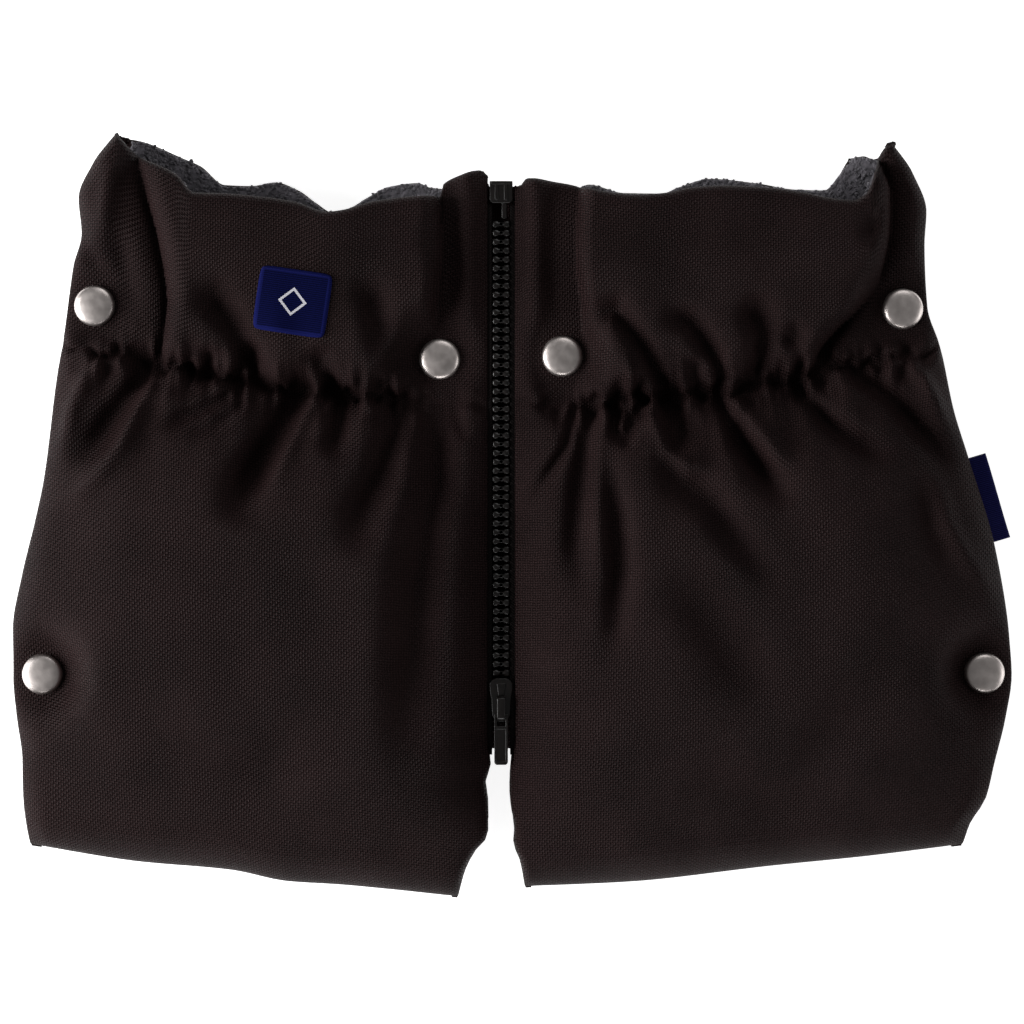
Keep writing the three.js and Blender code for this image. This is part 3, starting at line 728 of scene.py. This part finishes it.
def make_tufts(half_name, face, layers, count, seed):
    """Curls of fleece along the collar's mouth. Each is a tapering horn of four-sided rings that
    bends over as it rises from the pile, and they lie closest together at the mouth's edge."""
    rng = np.random.default_rng(seed)
    last = FLEECE_GRID - 1
    column = rng.uniform(1, last - 1, count)
    depth = rng.uniform(0, 1, count) ** 1.6 * 16
    row = last - depth * last / 240
    a, y, inner, outer = [between(part, row, column) for part in layers[:4]]
    at_edge = np.exp(-(depth + 0.6) / 1.6)
    base = np.stack([a, y, inner + (0.3 + 0.5 * at_edge) * (outer - inner)], -1)
    lean = rng.normal(0, 1, (count, 3))
    lean[:, 1] = np.abs(lean[:, 1]) * 0.8 + 1.6 * at_edge
    lean[:, 2] = -1.3 - 0.4 * np.abs(lean[:, 2])
    lean = lean / np.linalg.norm(lean, axis=1)[:, None]
    bend = rng.normal(0, 1, (count, 3))
    length = rng.uniform(0.6, 1.1, count) * (0.8 + 0.2 * at_edge)
    radius = rng.uniform(0.6, 0.9, count)
    across = np.cross(lean, bend)
    across = across / np.linalg.norm(across, axis=1)[:, None]
    other = np.cross(lean, across)
    rings = []
    for t, thick in ((0, 0.8), (0.35, 1.1), (0.75, 1.0), (1.0, 0.6)):
        spine = base + lean * (length * t)[:, None] + bend * (0.75 * t * t * length)[:, None] * 0.5
        for turn in range(4):
            angle = turn * math.pi / 2 + 2.0 * t
            way = across * math.cos(angle) + other * math.sin(angle)
            rings.append(spine + way * (radius * thick)[:, None])
    points = place(half_name, face, *np.moveaxis(np.stack(rings, 1), -1, 0))
    faces = [[0, 1, 2, 3], [15, 14, 13, 12]]
    for ring in (0, 4, 8):
        for turn in range(4):
            p, q = ring + turn, ring + (turn + 1) % 4
            faces.append([p, p + 4, q + 4, q])
    faces = np.array(faces)
    if turned_over(half_name, face):
        faces = faces[:, ::-1]
    everything = (faces[None] + len(rings) * np.arange(count)[:, None, None]).reshape(-1, 4)
    return make_mesh(f"{half_name}_{face}_fleece_curls", points.reshape(-1, 3), everything)


# ---------------------------------------------------------------- snaps

CAP_PROFILE = [(0, 9.1), (1.6, 9.08), (3.2, 8.98), (4.8, 8.78), (5.8, 8.55), (6.5, 8.25), (7.0, 7.85),
               (7.3, 7.35), (7.45, 6.85), (7.5, 6.5), (7.4, 6.25), (6.9, 6.15), (5.0, 6.2),
               (3.0, 6.3), (2.2, 5.0), (2.1, 2.2), (0, 2.2)]
SOCKET_PROFILE = [(0, 1.5), (4.4, 1.5), (5.6, 1.4), (6.2, 1.0), (6.2, 0.4), (5.8, 0.05),
                  (4.9, -0.1), (4.5, 0.2), (3.4, 0.3), (3.1, -0.25), (2.95, -0.25), (2.9, 0.9),
                  (0, 0.9)]
STUD_PROFILE = [(0, 0.75), (1.9, 0.7), (2.6, 0.3), (2.75, -0.2), (2.4, -0.5), (2.4, -0.75),
                (4.2, -0.8), (5.2, -0.85), (5.5, -1.1), (5.4, -1.4), (4.6, -1.5), (0, -1.5)]
POST_PROFILE = [(0, -1.9), (1.8, -1.9), (2.0, -2.2), (2.0, -5.9), (3.4, -6.1), (4.7, -6.3),
                (5.0, -6.7), (4.9, -7.2), (4.3, -7.6), (2.6, -7.95), (0, -8.0)]


def make_snap(name):
    """The four turned parts of a press snap: cap and socket on the front, stud and post on the
    back."""
    x, y, _ = centre(f"{name}_snap_cap")
    for part, profile, body in (("cap", CAP_PROFILE, "front_panels"),
                                ("socket", SOCKET_PROFILE, "front_panels"),
                                ("stud", STUD_PROFILE, "back_panels"),
                                ("post", POST_PROFILE, "back_panels")):
        piece = lathe(f"{name}_snap_{part}_turned", x, y, profile[::-1])
        finished(piece, NICKEL, "snap_metal", body, f"{name}_snap_{part}")


# ---------------------------------------------------------------- zip

TEETH = 54
# One tooth from above, as (distance from the zip's middle, place along the zip): a foot clamped over
# the cord, a neck, and a head.
TOOTH = np.array([(3.1, -1.2), (3.1, 1.2), (2.4, 1.4), (1.3, 1.4), (0.95, 0.8), (-0.5, 0.86),
                  (-0.9, 0.6), (-0.9, -0.6), (-0.5, -0.86), (0.95, -0.8), (1.3, -1.4), (2.4, -1.4)])


def make_teeth(side_name):
    """A row of moulded teeth on the tape's cord. Each tooth is a bevelled prism whose head reaches
    past the middle between its neighbours."""
    side = HALVES[side_name]["side"]
    _, _, y0, y1, _, _ = sides(f"{side_name}_zip_teeth")
    z = MID + CHAIN_Z
    parts = []
    for k in range(TEETH):
        y = y0 + 0.62 + (y1 - y0 - 1.24) * k / (TEETH - 1)
        outline = np.column_stack([ZIP_X + side * TOOTH[:, 0], y + TOOTH[:, 1] * 0.86])[::-side]
        parts.append(prism(outline, z - 1.3, z + 1.3, 0.34))
    return joined(f"{side_name}_zip_teeth_moulded", parts)


def make_tape(side_name):
    """The zip's tape: a ribbon from the chain out under the shell, thicker along its cord."""
    side = HALVES[side_name]["side"]
    _, _, y0, y1, _, _ = sides(f"{side_name}_zip_tape")
    d = np.array([3.3, 3.6, 4.0, 4.5, 5.0, 6, 7.5, 9, 10.5, 12])
    dd, yy = np.meshgrid(d, np.linspace(y0, y1, 160))
    thick = 0.26 + 0.2 * np.exp(-(((dd - 3.9) / 0.6) ** 2))
    top = np.stack([ZIP_X + side * dd, yy, MID + CHAIN_Z + thick], -1)
    bottom = np.stack([ZIP_X + side * dd, yy, MID + CHAIN_Z - thick], -1)
    return slab(f"{side_name}_zip_tape_woven", top, bottom, side > 0, np.stack([dd, yy], -1))


def make_guard():
    """The guard behind the teeth: a strip of shell cloth that bows back a little."""
    x0, x1, y0, y1, z0, _ = sides("zip_guard")
    xx, yy = np.meshgrid(np.linspace(x0, x1, 26), np.linspace(y0, y1, 160))
    bow = 0.35 * ((xx - ZIP_X) / 11) ** 2 + 0.06 * ripple(xx, yy, 24, 77)
    z = z0 + 0.1 + bow
    return slab("zip_guard_cloth", np.stack([xx, yy, z + 0.4], -1), np.stack([xx, yy, z], -1),
                False, np.stack([xx, yy], -1))


def extruded(outline, low, high, along="z"):
    """Points and faces of a prism. The outline lies across the axis that it is drawn along:
    (x, y) for z, (y, z) for x, anticlockwise as seen from the far end."""
    outline = np.array(outline, float)
    count = len(outline)
    rings = [np.column_stack([outline, np.full(count, level)]) for level in (low, high)]
    points = np.vstack(rings)
    if along == "x":
        points = points[:, [2, 0, 1]]
    k = np.arange(count)
    after = np.roll(k, -1)
    faces = np.stack([k, after, after + count, k + count], -1).tolist()
    faces.append(k[::-1].tolist())
    faces.append((k + count).tolist())
    return points, faces


def softened(piece, width, segments=3):
    """Rounds a moulded piece's edges."""
    bevel = piece.modifiers.new("moulded edges", "BEVEL")
    bevel.width, bevel.segments = width * MM, segments
    bevel.limit_method, bevel.angle_limit = "ANGLE", math.radians(40)
    return piece


def plate_outline(x0, x1, y0, y1):
    """A slider plate: round shoulders, drawn in to a waist, with a round tail."""
    shoulder = (x1 - x0) / 2
    y = np.array([0, 0.04, 0.14, 0.3, 0.45, 0.62, 0.76, 0.88, 0.96, 1.0])
    reach = np.array([0.45, 0.72, 0.93, 1.0, 1.02, 1.12, 1.24, 1.22, 1.0, 0.55]) * (shoulder - 1.3)
    reach = np.minimum(reach, shoulder)
    along = y0 + (y1 - y0) * y
    right = np.column_stack([ZIP_X + reach, along])
    left = np.column_stack([ZIP_X - reach, along])[::-1]
    return np.vstack([right, left])


def make_slider():
    """The slider: front plate with a raised spine and an arched bail, and the back plate."""
    x0, x1, y0, y1, z0, z1 = sides("slider_back_plate")
    outline = plate_outline(x0, x1, y0, y1)
    back = joined("slider_back_plate_moulded", [extruded(outline, z0, z1)])
    base = MID + CHAIN_Z + 1.6
    top = base + 1.0
    y0, y1 = y0 + 0.5, y0 + 9.5
    ridge = [(ZIP_X - 1.0, y1 - 0.3), (ZIP_X + 1.0, y1 - 0.3), (ZIP_X + 1.7, y1 + 4.6),
             (ZIP_X - 1.7, y1 + 4.6)]
    arch = [(y0, top - 0.3), (y0 + 0.9, top - 0.3), (y0 + 0.9, top + 1.15), (y0 + 1.35, top + 1.7),
            (y1 - 1.35, top + 1.7), (y1 - 0.9, top + 1.15), (y1 - 0.9, top - 0.3), (y1, top - 0.3),
            (y1, top + 1.5), (y1 - 0.9, top + 2.6), (y0 + 0.9, top + 2.6), (y0, top + 1.5)]
    body = joined("slider_body_moulded", [
        extruded(outline, base, top),
        extruded(ridge, top - 0.2, top + 0.35),
        extruded(arch, ZIP_X - 1.5, ZIP_X + 1.5, "x")])
    return softened(body, 0.28), softened(back, 0.28)


def make_pull():
    """The pull: a tab with a sunk panel, two arms and the bar that turns in the bail."""
    x0, x1, y0, y1, z0, z1 = sides("pull_tab")
    eye = y1 - 1.1 - 3.2
    parts = [
        extruded(rectangle(x0, x1, y0, eye, 1.1), z0 + 0.25, z1 - 0.25),
        extruded(rectangle(x0, x0 + 0.9, y0 + 1, y1, 0.3), z0, z1),
        extruded(rectangle(x1 - 0.9, x1, y0 + 1, y1, 0.3), z0, z1),
        extruded(rectangle(x0 + 0.5, x1 - 0.5, y0, y0 + 1.3, 0.5), z0, z1),
        extruded(rectangle(x0 + 0.5, x1 - 0.5, eye - 1.2, eye, 0.3), z0, z1),
        extruded(rectangle(x0 + 0.4, x1 - 0.4, y1 - 1.1, y1, 0.3), z0 + 0.05, z1 - 0.05)]
    return softened(joined("pull_tab_moulded", parts), 0.18, 2)


def make_zip_ends():
    """The box with its ribs and chamfered mouth, the insert pin, and the two end stops."""
    x0, x1, y0, y1, z0, z1 = sides("zip_box")
    body = [(x0 + 0.8, y0), (x1 - 0.8, y0), (x1, y0 + 0.9), (x1, y1), (x0, y1), (x0, y0 + 0.9)]
    shell = [extruded(body, z0 + 0.35, z1 - 0.35)]
    for share in (0.3, 0.7):
        rib = x0 + (x1 - x0) * share
        shell.append(extruded(rectangle(rib - 0.7, rib + 0.7, y0 + 1, y1 - 1, 0.3), z1 - 0.5, z1))
    shell.append(extruded(rectangle(x0 + 0.6, x1 - 0.6, y1 - 1.2, y1, 0.3), z0, z1))
    pieces = {"zip_box": softened(joined("zip_box_moulded", shell), 0.3)}
    for name in ("zip_insert_pin", "left_zip_end_stop", "right_zip_end_stop"):
        x0, x1, y0, y1, z0, z1 = sides(name)
        part = joined(f"{name}_moulded", [extruded(rectangle(x0, x1, y0, y1, 0.5), z0, z1)])
        pieces[name] = softened(part, 0.3)
    return pieces


# ---------------------------------------------------------------- labels

def label(node, turn, width, height, columns, rows):
    """A grid over a label that lies turned about its CAD node's middle: its shares u and v from
    -1 to 1, its own px and py, and the frame's x and y."""
    cx, cy, _ = centre(node)
    u = np.linspace(-1, 1, columns)[None, :]
    v = np.linspace(-1, 1, rows)[:, None]
    corner = 1 - 0.06 * np.abs(u * v) ** 7 if node == "woven_patch" else 1
    px, py = (u + 0 * v) * width / 2 * corner, (v + 0 * u) * height / 2 * corner
    x = cx + px * math.cos(turn) - py * math.sin(turn)
    y = cy + px * math.sin(turn) + py * math.cos(turn)
    return u, v, px, py, x, y


def make_patch():
    """The woven patch on the left half: a card with round corners that follows the shell and
    bridges its small hollows."""
    u, v, px, py, x, y = label("woven_patch", -0.145, 26.5, 23.5, 48, 44)
    under = roof("left", "front", -x, y)
    edge = dome((1 - np.abs(u)) / 0.05) * dome((1 - np.abs(v)) / 0.05)
    base = MID + np.maximum(under * 0.8 + under.mean() * 0.2, under) + 0.15
    top = np.stack([x, y, base + 0.25 + 0.65 * edge], -1)
    bottom = np.stack([x, y, base - 0.2], -1)
    return slab("woven_patch_stitched", top, bottom, False, np.stack([px, py], -1))


def make_tag():
    """The folded side tag, sewn in at the outer edge: two layers of ribbon with a soft wave."""
    u, v, px, py, x, y = label("side_tag", 0.29, 13.5, 32.5, 24, 50)
    wave = 0.5 * np.sin(py / 6.5) * smooth((px + 3) / 10)
    half = 0.1 + 0.3 * dome((1 - np.abs(u)) / 0.06) * dome((1 - np.abs(v)) / 0.03)
    top = np.stack([x, y, MID + wave + half], -1)
    bottom = np.stack([x, y, MID + wave - half], -1)
    return slab("side_tag_folded", top, bottom, False, np.stack([px, py], -1))


# ---------------------------------------------------------------- materials

def srgb(code):
    """Linear RGBA of an sRGB hex colour."""
    channels = [int(code[k:k + 2], 16) / 255 for k in (0, 2, 4)]
    return [c / 12.92 if c <= 0.04045 else ((c + 0.055) / 1.055) ** 2.4 for c in channels] + [1]


def add(tree, kind, inputs=None, stops=None, to=None, **settings):
    """Adds a node. Each input is a value or another node's output, stops are a ramp's places and
    hex colours, and `to` is a socket that the node's first output feeds."""
    made = tree.nodes.new(kind)
    for key, value in settings.items():
        setattr(made, key, value)
    for key, value in (inputs or {}).items():
        if isinstance(value, bpy.types.NodeSocket):
            tree.links.new(value, made.inputs[key])
        else:
            made.inputs[key].default_value = value
    if stops:
        for stop, (place_at, code) in zip(made.color_ramp.elements, stops):
            stop.position, stop.color = place_at, srgb(code)
    if to:
        tree.links.new(made.outputs[0], to)
    return made


def finish_named(name, roughness, **values):
    """A material with its Principled shader."""
    made = bpy.data.materials.new(name)
    made.use_nodes = True
    shader = made.node_tree.nodes["Principled BSDF"]
    shader.inputs["Roughness"].default_value = roughness
    for key, value in values.items():
        shader.inputs[key.replace("_", " ")].default_value = value
    return made, made.node_tree, shader.inputs


def wave_of(pitch):
    """Scale of a Wave texture whose bands are `pitch` millimetres apart on millimetre UVs."""
    return 2 * math.pi / 20 / pitch


def oxford():
    """Coated polyester oxford cloth: basket weave of flat filament yarns. Its base colour follows the
    weave, with painted shade darkening the hollows and a painted highlight lightening each crossing,
    and it is a little paler in broad random patches where it has been rubbed. Real yarns lie about
    0.6 mm apart, and are drawn at 0.92 mm so that they show."""
    made, tree, shader = finish_named("black_polyester_oxford", 0.52, IOR=1.45,
                                      Specular_IOR_Level=0.05)
    pitch = 0.92
    uv = add(tree, "ShaderNodeUVMap", uv_map="cloth").outputs["UV"]
    bent = add(tree, "ShaderNodeTexNoise", {"Vector": uv, "Scale": 0.09, "Detail": 2.0})
    shift = add(tree, "ShaderNodeVectorMath", {0: bent.outputs["Color"], 1: (0.5, 0.5, 0.5)},
                operation="SUBTRACT")
    moved = add(tree, "ShaderNodeVectorMath", {0: shift.outputs[0], 1: (1.6, 1.6, 0), 2: uv},
                operation="MULTIPLY_ADD").outputs[0]
    warp, weft = [add(tree, "ShaderNodeTexWave",
                      {"Vector": moved, "Scale": wave_of(pitch), "Distortion": 0.5, "Detail": 1.0,
                       "Detail Scale": 0.4}, bands_direction=way).outputs["Fac"] for way in "XY"]
    over = add(tree, "ShaderNodeTexChecker", {"Vector": moved, "Scale": 1 / pitch}).outputs["Fac"]
    yarn = add(tree, "ShaderNodeMix", {"Factor": over, "A": warp, "B": weft},
               data_type="FLOAT").outputs["Result"]
    slub = add(tree, "ShaderNodeTexNoise", {"Vector": uv, "Scale": 1.3, "Detail": 3.0}).outputs["Fac"]
    blotch = add(tree, "ShaderNodeTexNoise", {"Vector": uv, "Scale": 0.03, "Detail": 4.0})
    level = add(tree, "ShaderNodeMath", {0: yarn, 1: slub}, operation="MULTIPLY")
    level = add(tree, "ShaderNodeMath", {0: blotch.outputs["Fac"], 1: 0.45, 2: level.outputs[0]},
                operation="MULTIPLY_ADD")
    # Painted shade and painted highlight: the weave's hollows are coloured darker and its crossings
    # lighter, over random rubbed patches.
    add(tree, "ShaderNodeValToRGB", {"Fac": level.outputs[0]}, ((0.12, "020101"), (0.82, "2f2222")),
        shader["Base Color"])
    height = add(tree, "ShaderNodeMath", {0: slub, 1: 0.35, 2: yarn}, operation="MULTIPLY_ADD")
    add(tree, "ShaderNodeBump", {"Height": height.outputs[0], "Distance": 0.00018, "Strength": 1.5},
        to=shader["Normal"])
    return made


def sherpa():
    """Polyester sherpa fleece: grey curls whose tone changes at random, in small and in larger patches.
    """
    made, tree, shader = finish_named("grey_polyester_sherpa_fleece", 0.92, Sheen_Weight=0.25,
                                      Sheen_Roughness=0.6)
    place_on = add(tree, "ShaderNodeTexCoord").outputs["Object"]
    curls = add(tree, "ShaderNodeTexNoise", {"Vector": place_on, "Scale": 520.0, "Detail": 4.0})
    patch = add(tree, "ShaderNodeTexNoise", {"Vector": place_on, "Scale": 120.0, "Detail": 3.0})
    level = add(tree, "ShaderNodeMath", {0: patch.outputs["Fac"], 1: 0.35, 2: curls.outputs["Fac"]},
                operation="MULTIPLY_ADD")
    add(tree, "ShaderNodeValToRGB", {"Fac": level.outputs[0]}, ((0.5, "454348"), (0.85, "6d6970")),
        shader["Base Color"])
    add(tree, "ShaderNodeBump", {"Height": curls.outputs["Fac"], "Distance": 0.0004, "Strength": 0.6},
        to=shader["Normal"])
    return made


def woven_ribbon(name, dark, light, pitch, roughness, slant=0.0):
    """Ribbon woven flat: fine ribs, or herringbone where the ribs slant."""
    made, tree, shader = finish_named(name, roughness, Specular_IOR_Level=0.06)
    uv = add(tree, "ShaderNodeUVMap", uv_map="cloth").outputs["UV"]
    turned = add(tree, "ShaderNodeMapping", {"Vector": uv, "Rotation": (0, 0, slant)})
    rib = add(tree, "ShaderNodeTexWave", {"Vector": turned.outputs[0], "Scale": wave_of(pitch),
                                          "Distortion": 0.4}, bands_direction="Y").outputs["Fac"]
    grain = add(tree, "ShaderNodeTexNoise", {"Vector": uv, "Scale": 1.8, "Detail": 3.0})
    level = add(tree, "ShaderNodeMath", {0: rib, 1: grain.outputs["Fac"]}, operation="MULTIPLY")
    add(tree, "ShaderNodeValToRGB", {"Fac": level.outputs[0]}, ((0.1, dark), (0.6, light)),
        shader["Base Color"])
    add(tree, "ShaderNodeBump", {"Height": rib, "Distance": 0.0001, "Strength": 0.7},
        to=shader["Normal"])
    return made


def jacquard():
    """Navy jacquard patch: fine ribs, a satin-stitched edge, and a plain diamond outline. The
    diamond is where |x| + |y| is near 4.6 mm, and the edge where |x| or |y| is large."""
    made, tree, shader = finish_named("navy_jacquard_patch", 0.8, Specular_IOR_Level=0.02)
    uv = add(tree, "ShaderNodeUVMap", uv_map="cloth").outputs["UV"]
    apart = add(tree, "ShaderNodeSeparateXYZ", {"Vector": uv})
    far_x, far_y = [add(tree, "ShaderNodeMath", {0: apart.outputs[way]},
                        operation="ABSOLUTE").outputs[0] for way in "XY"]
    reach = add(tree, "ShaderNodeMath", {0: far_x, 1: far_y}, operation="ADD").outputs[0]
    off_line = add(tree, "ShaderNodeMath", {0: reach, 1: 4.6}, operation="SUBTRACT").outputs[0]
    off_line = add(tree, "ShaderNodeMath", {0: off_line}, operation="ABSOLUTE").outputs[0]
    on_line = add(tree, "ShaderNodeMath", {0: off_line, 1: 0.62}, operation="LESS_THAN").outputs[0]
    near_x, near_y = [add(tree, "ShaderNodeMath", {0: far, 1: limit},
                          operation="GREATER_THAN").outputs[0]
                      for far, limit in ((far_x, 11.7), (far_y, 10.2))]
    border = add(tree, "ShaderNodeMath", {0: near_x, 1: near_y}, operation="MAXIMUM").outputs[0]
    rib = add(tree, "ShaderNodeTexWave", {"Vector": uv, "Scale": wave_of(0.75)},
              bands_direction="Y").outputs["Fac"]
    grain = add(tree, "ShaderNodeTexNoise", {"Vector": uv, "Scale": 2.0, "Detail": 3.0})
    level = add(tree, "ShaderNodeMath", {0: rib, 1: grain.outputs["Fac"]}, operation="MULTIPLY")
    ground = add(tree, "ShaderNodeValToRGB", {"Fac": level.outputs[0]},
                 ((0.0, "05071f"), (0.6, "0e1242")))
    edged = add(tree, "ShaderNodeMix", {"Factor": border, "A": ground.outputs["Color"],
                                        "B": srgb("121648")}, data_type="RGBA")
    drawn = add(tree, "ShaderNodeMix", {"Factor": on_line, "A": edged.outputs["Result"],
                                        "B": srgb("c9c8cf")}, data_type="RGBA")
    tree.links.new(drawn.outputs["Result"], shader["Base Color"])
    add(tree, "ShaderNodeBump", {"Height": rib, "Distance": 0.0001, "Strength": 0.6},
        to=shader["Normal"])
    return made


def moulded_acetal():
    """Moulded black acetal: smooth with a fine spark-eroded grain and faint shade changes."""
    made, tree, shader = finish_named("black_moulded_acetal", 0.3, IOR=1.48)
    place_on = add(tree, "ShaderNodeTexCoord").outputs["Object"]
    grain = add(tree, "ShaderNodeTexNoise", {"Vector": place_on, "Scale": 900.0,
                                             "Detail": 3.0}).outputs["Fac"]
    add(tree, "ShaderNodeValToRGB", {"Fac": grain}, ((0.3, "060504"), (0.7, "15100f")),
        shader["Base Color"])
    add(tree, "ShaderNodeBump", {"Height": grain, "Distance": 0.00004, "Strength": 0.5},
        to=shader["Normal"])
    return made


def tumbled_nickel():
    """Nickel-plated brass, stamped and tumbled: bright, with soft scuffs that dull it in places."""
    made, tree, shader = finish_named("tumbled_nickel_plated_brass", 0.4, Metallic=1.0)
    place_on = add(tree, "ShaderNodeTexCoord").outputs["Object"]
    scuff = add(tree, "ShaderNodeTexNoise", {"Vector": place_on, "Scale": 350.0,
                                             "Detail": 5.0}).outputs["Fac"]
    add(tree, "ShaderNodeMapRange", {"Value": scuff, "From Min": 0.3, "From Max": 0.7,
                                     "To Min": 0.36, "To Max": 0.44}, to=shader["Roughness"])
    add(tree, "ShaderNodeValToRGB", {"Fac": scuff}, ((0.3, "cfc6c2"), (0.7, "e0d7d3")),
        shader["Base Color"])
    add(tree, "ShaderNodeBump", {"Height": scuff, "Distance": 0.00001, "Strength": 0.2},
        to=shader["Normal"])
    return made


def loose_wadding():
    """Loose white polyester wadding: cloudy and matt."""
    made, tree, shader = finish_named("white_polyester_wadding", 0.95)
    place_on = add(tree, "ShaderNodeTexCoord").outputs["Object"]
    cloud = add(tree, "ShaderNodeTexNoise", {"Vector": place_on, "Scale": 180.0, "Detail": 6.0})
    add(tree, "ShaderNodeValToRGB", {"Fac": cloud.outputs["Fac"]}, ((0, "c9c7c2"), (1, "efeeea")),
        shader["Base Color"])
    return made


SHELL_CLOTH = oxford()
FLEECE = sherpa()
WADDING = loose_wadding()
# Braided elastic is matt with coarse ribs, zip tape is a matt herringbone, and satin ribbon has a
# little gloss on fine ribs.
ELASTIC = woven_ribbon("black_braided_elastic", "0c0a0a", "2a2424", 0.9, 0.8)
TAPE = woven_ribbon("black_zip_tape", "050404", "1a1515", 0.8, 0.75, 0.7)
ACETAL = moulded_acetal()
NICKEL = tumbled_nickel()
PATCH_CLOTH = jacquard()
TAG_RIBBON = woven_ribbon("navy_satin_ribbon", "0c0d33", "20215f", 0.7, 0.55)


def finished(piece, material, slot, body, *nodes):
    """Gives a piece its material, hides the CAD nodes that it stands for and puts it on its body.
    The slot argument is not used.
    """
    piece.data.materials.append(material)
    if nodes:
        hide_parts(*nodes)
    if body:
        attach(piece, body)
    return piece


# ---------------------------------------------------------------- the muff

for half_name, half in HALVES.items():
    shell = make_shell(half_name)
    finished(shell, SHELL_CLOTH, "shell_cloth", None, f"{half_name}_front_shell",
             f"{half_name}_back_shell")
    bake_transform(shell)
    for face in ("front", "back"):
        body = f"{face}_panels"
        layers = lining_layers(half_name, face)
        lining = make_lining(half_name, face, layers)
        finished(lining, FLEECE, "fleece", body, f"{half_name}_{face}_lining")
        curls = make_tufts(half_name, face, layers, *CURLS[half_name, face])
        finished(curls, FLEECE, "fleece", body)
        wadding = make_wadding(half_name, face, layers)
        finished(wadding, WADDING, "wadding", body, f"{half_name}_{face}_wadding")
        finished(make_elastic(half_name, face), ELASTIC, "elastic", body,
                 f"{half_name}_{face}_elastic")
    finished(make_teeth(half_name), ACETAL, "zip_plastic", "front_panels",
             f"{half_name}_zip_teeth")
    finished(make_tape(half_name), TAPE, "zip_tape", "front_panels", f"{half_name}_zip_tape")

for name in SNAPS["left"] + SNAPS["right"]:
    make_snap(name)

finished(make_patch(), PATCH_CLOTH, "label", "front_panels", "woven_patch")
finished(make_tag(), TAG_RIBBON, "label", "back_panels", "side_tag")

guard = finished(make_guard(), SHELL_CLOTH, "shell_cloth", "front_panels", "zip_guard")
for name, piece in make_zip_ends().items():
    finished(piece, ACETAL, "zip_plastic", "front_panels", name)
slider_body, slider_back = make_slider()
finished(slider_body, ACETAL, "zip_plastic", "slider", "slider_body")
finished(slider_back, ACETAL, "zip_plastic", "slider", "slider_back_plate")
finished(make_pull(), ACETAL, "zip_plastic", "pull", "pull_tab")

# ---------------------------------------------------------------- stage

scene = bpy.context.scene
scene.view_settings.view_transform = "Standard"
scene.view_settings.look = "None"


def make_floor():
    """A plain pale floor under the muff."""
    corners = [(-4000, -4000, -0.4), (4000, -4000, -0.4), (4000, 4000, -0.4), (-4000, 4000, -0.4)]
    floor = make_mesh("floor", corners, [(0, 1, 2, 3)])
    made, _, _ = finish_named("white_paper_floor", 0.9, Base_Color=srgb("f4f4f4"),
                              Emission_Color=srgb("ffffff"), Emission_Strength=0.8)
    floor.data.materials.append(made)


def soft_light(name, place_at, size, power):
    """A square area light that points at the muff's middle. Distances in metres."""
    data = bpy.data.lights.new(name, "AREA")
    data.shape, data.size, data.energy = "SQUARE", size, power
    lamp = bpy.data.objects.new(name, data)
    scene.collection.objects.link(lamp)
    lamp.location = place_at
    lamp.rotation_euler = (-Vector(place_at)).to_track_quat("-Z", "Y").to_euler()


make_floor()
soft_light("left_light", (-1.15, -0.15, 0.5), 0.85, 27)
soft_light("right_light", (1.3, -0.2, 0.45), 0.8, 4)
soft_light("collar_light", (0.3, 1.2, 0.8), 0.8, 3)
soft_light("fold_light", (0.0, -1.3, 0.28), 0.7, 7)
world = bpy.data.worlds.new("studio")
scene.world = world
world.use_nodes = True
world.node_tree.nodes["Background"].inputs["Color"].default_value = (1, 1, 1, 1)
world.node_tree.nodes["Background"].inputs["Strength"].default_value = 0.13

lens = bpy.data.cameras.new("camera")
lens.lens, lens.sensor_width = 100, 36
lens.clip_start, lens.clip_end = 0.05, 20
camera = bpy.data.objects.new("camera", lens)
scene.collection.objects.link(camera)
camera.location = (-0.0002, 0.0013, MID * MM + 1.0525)
scene.camera = camera
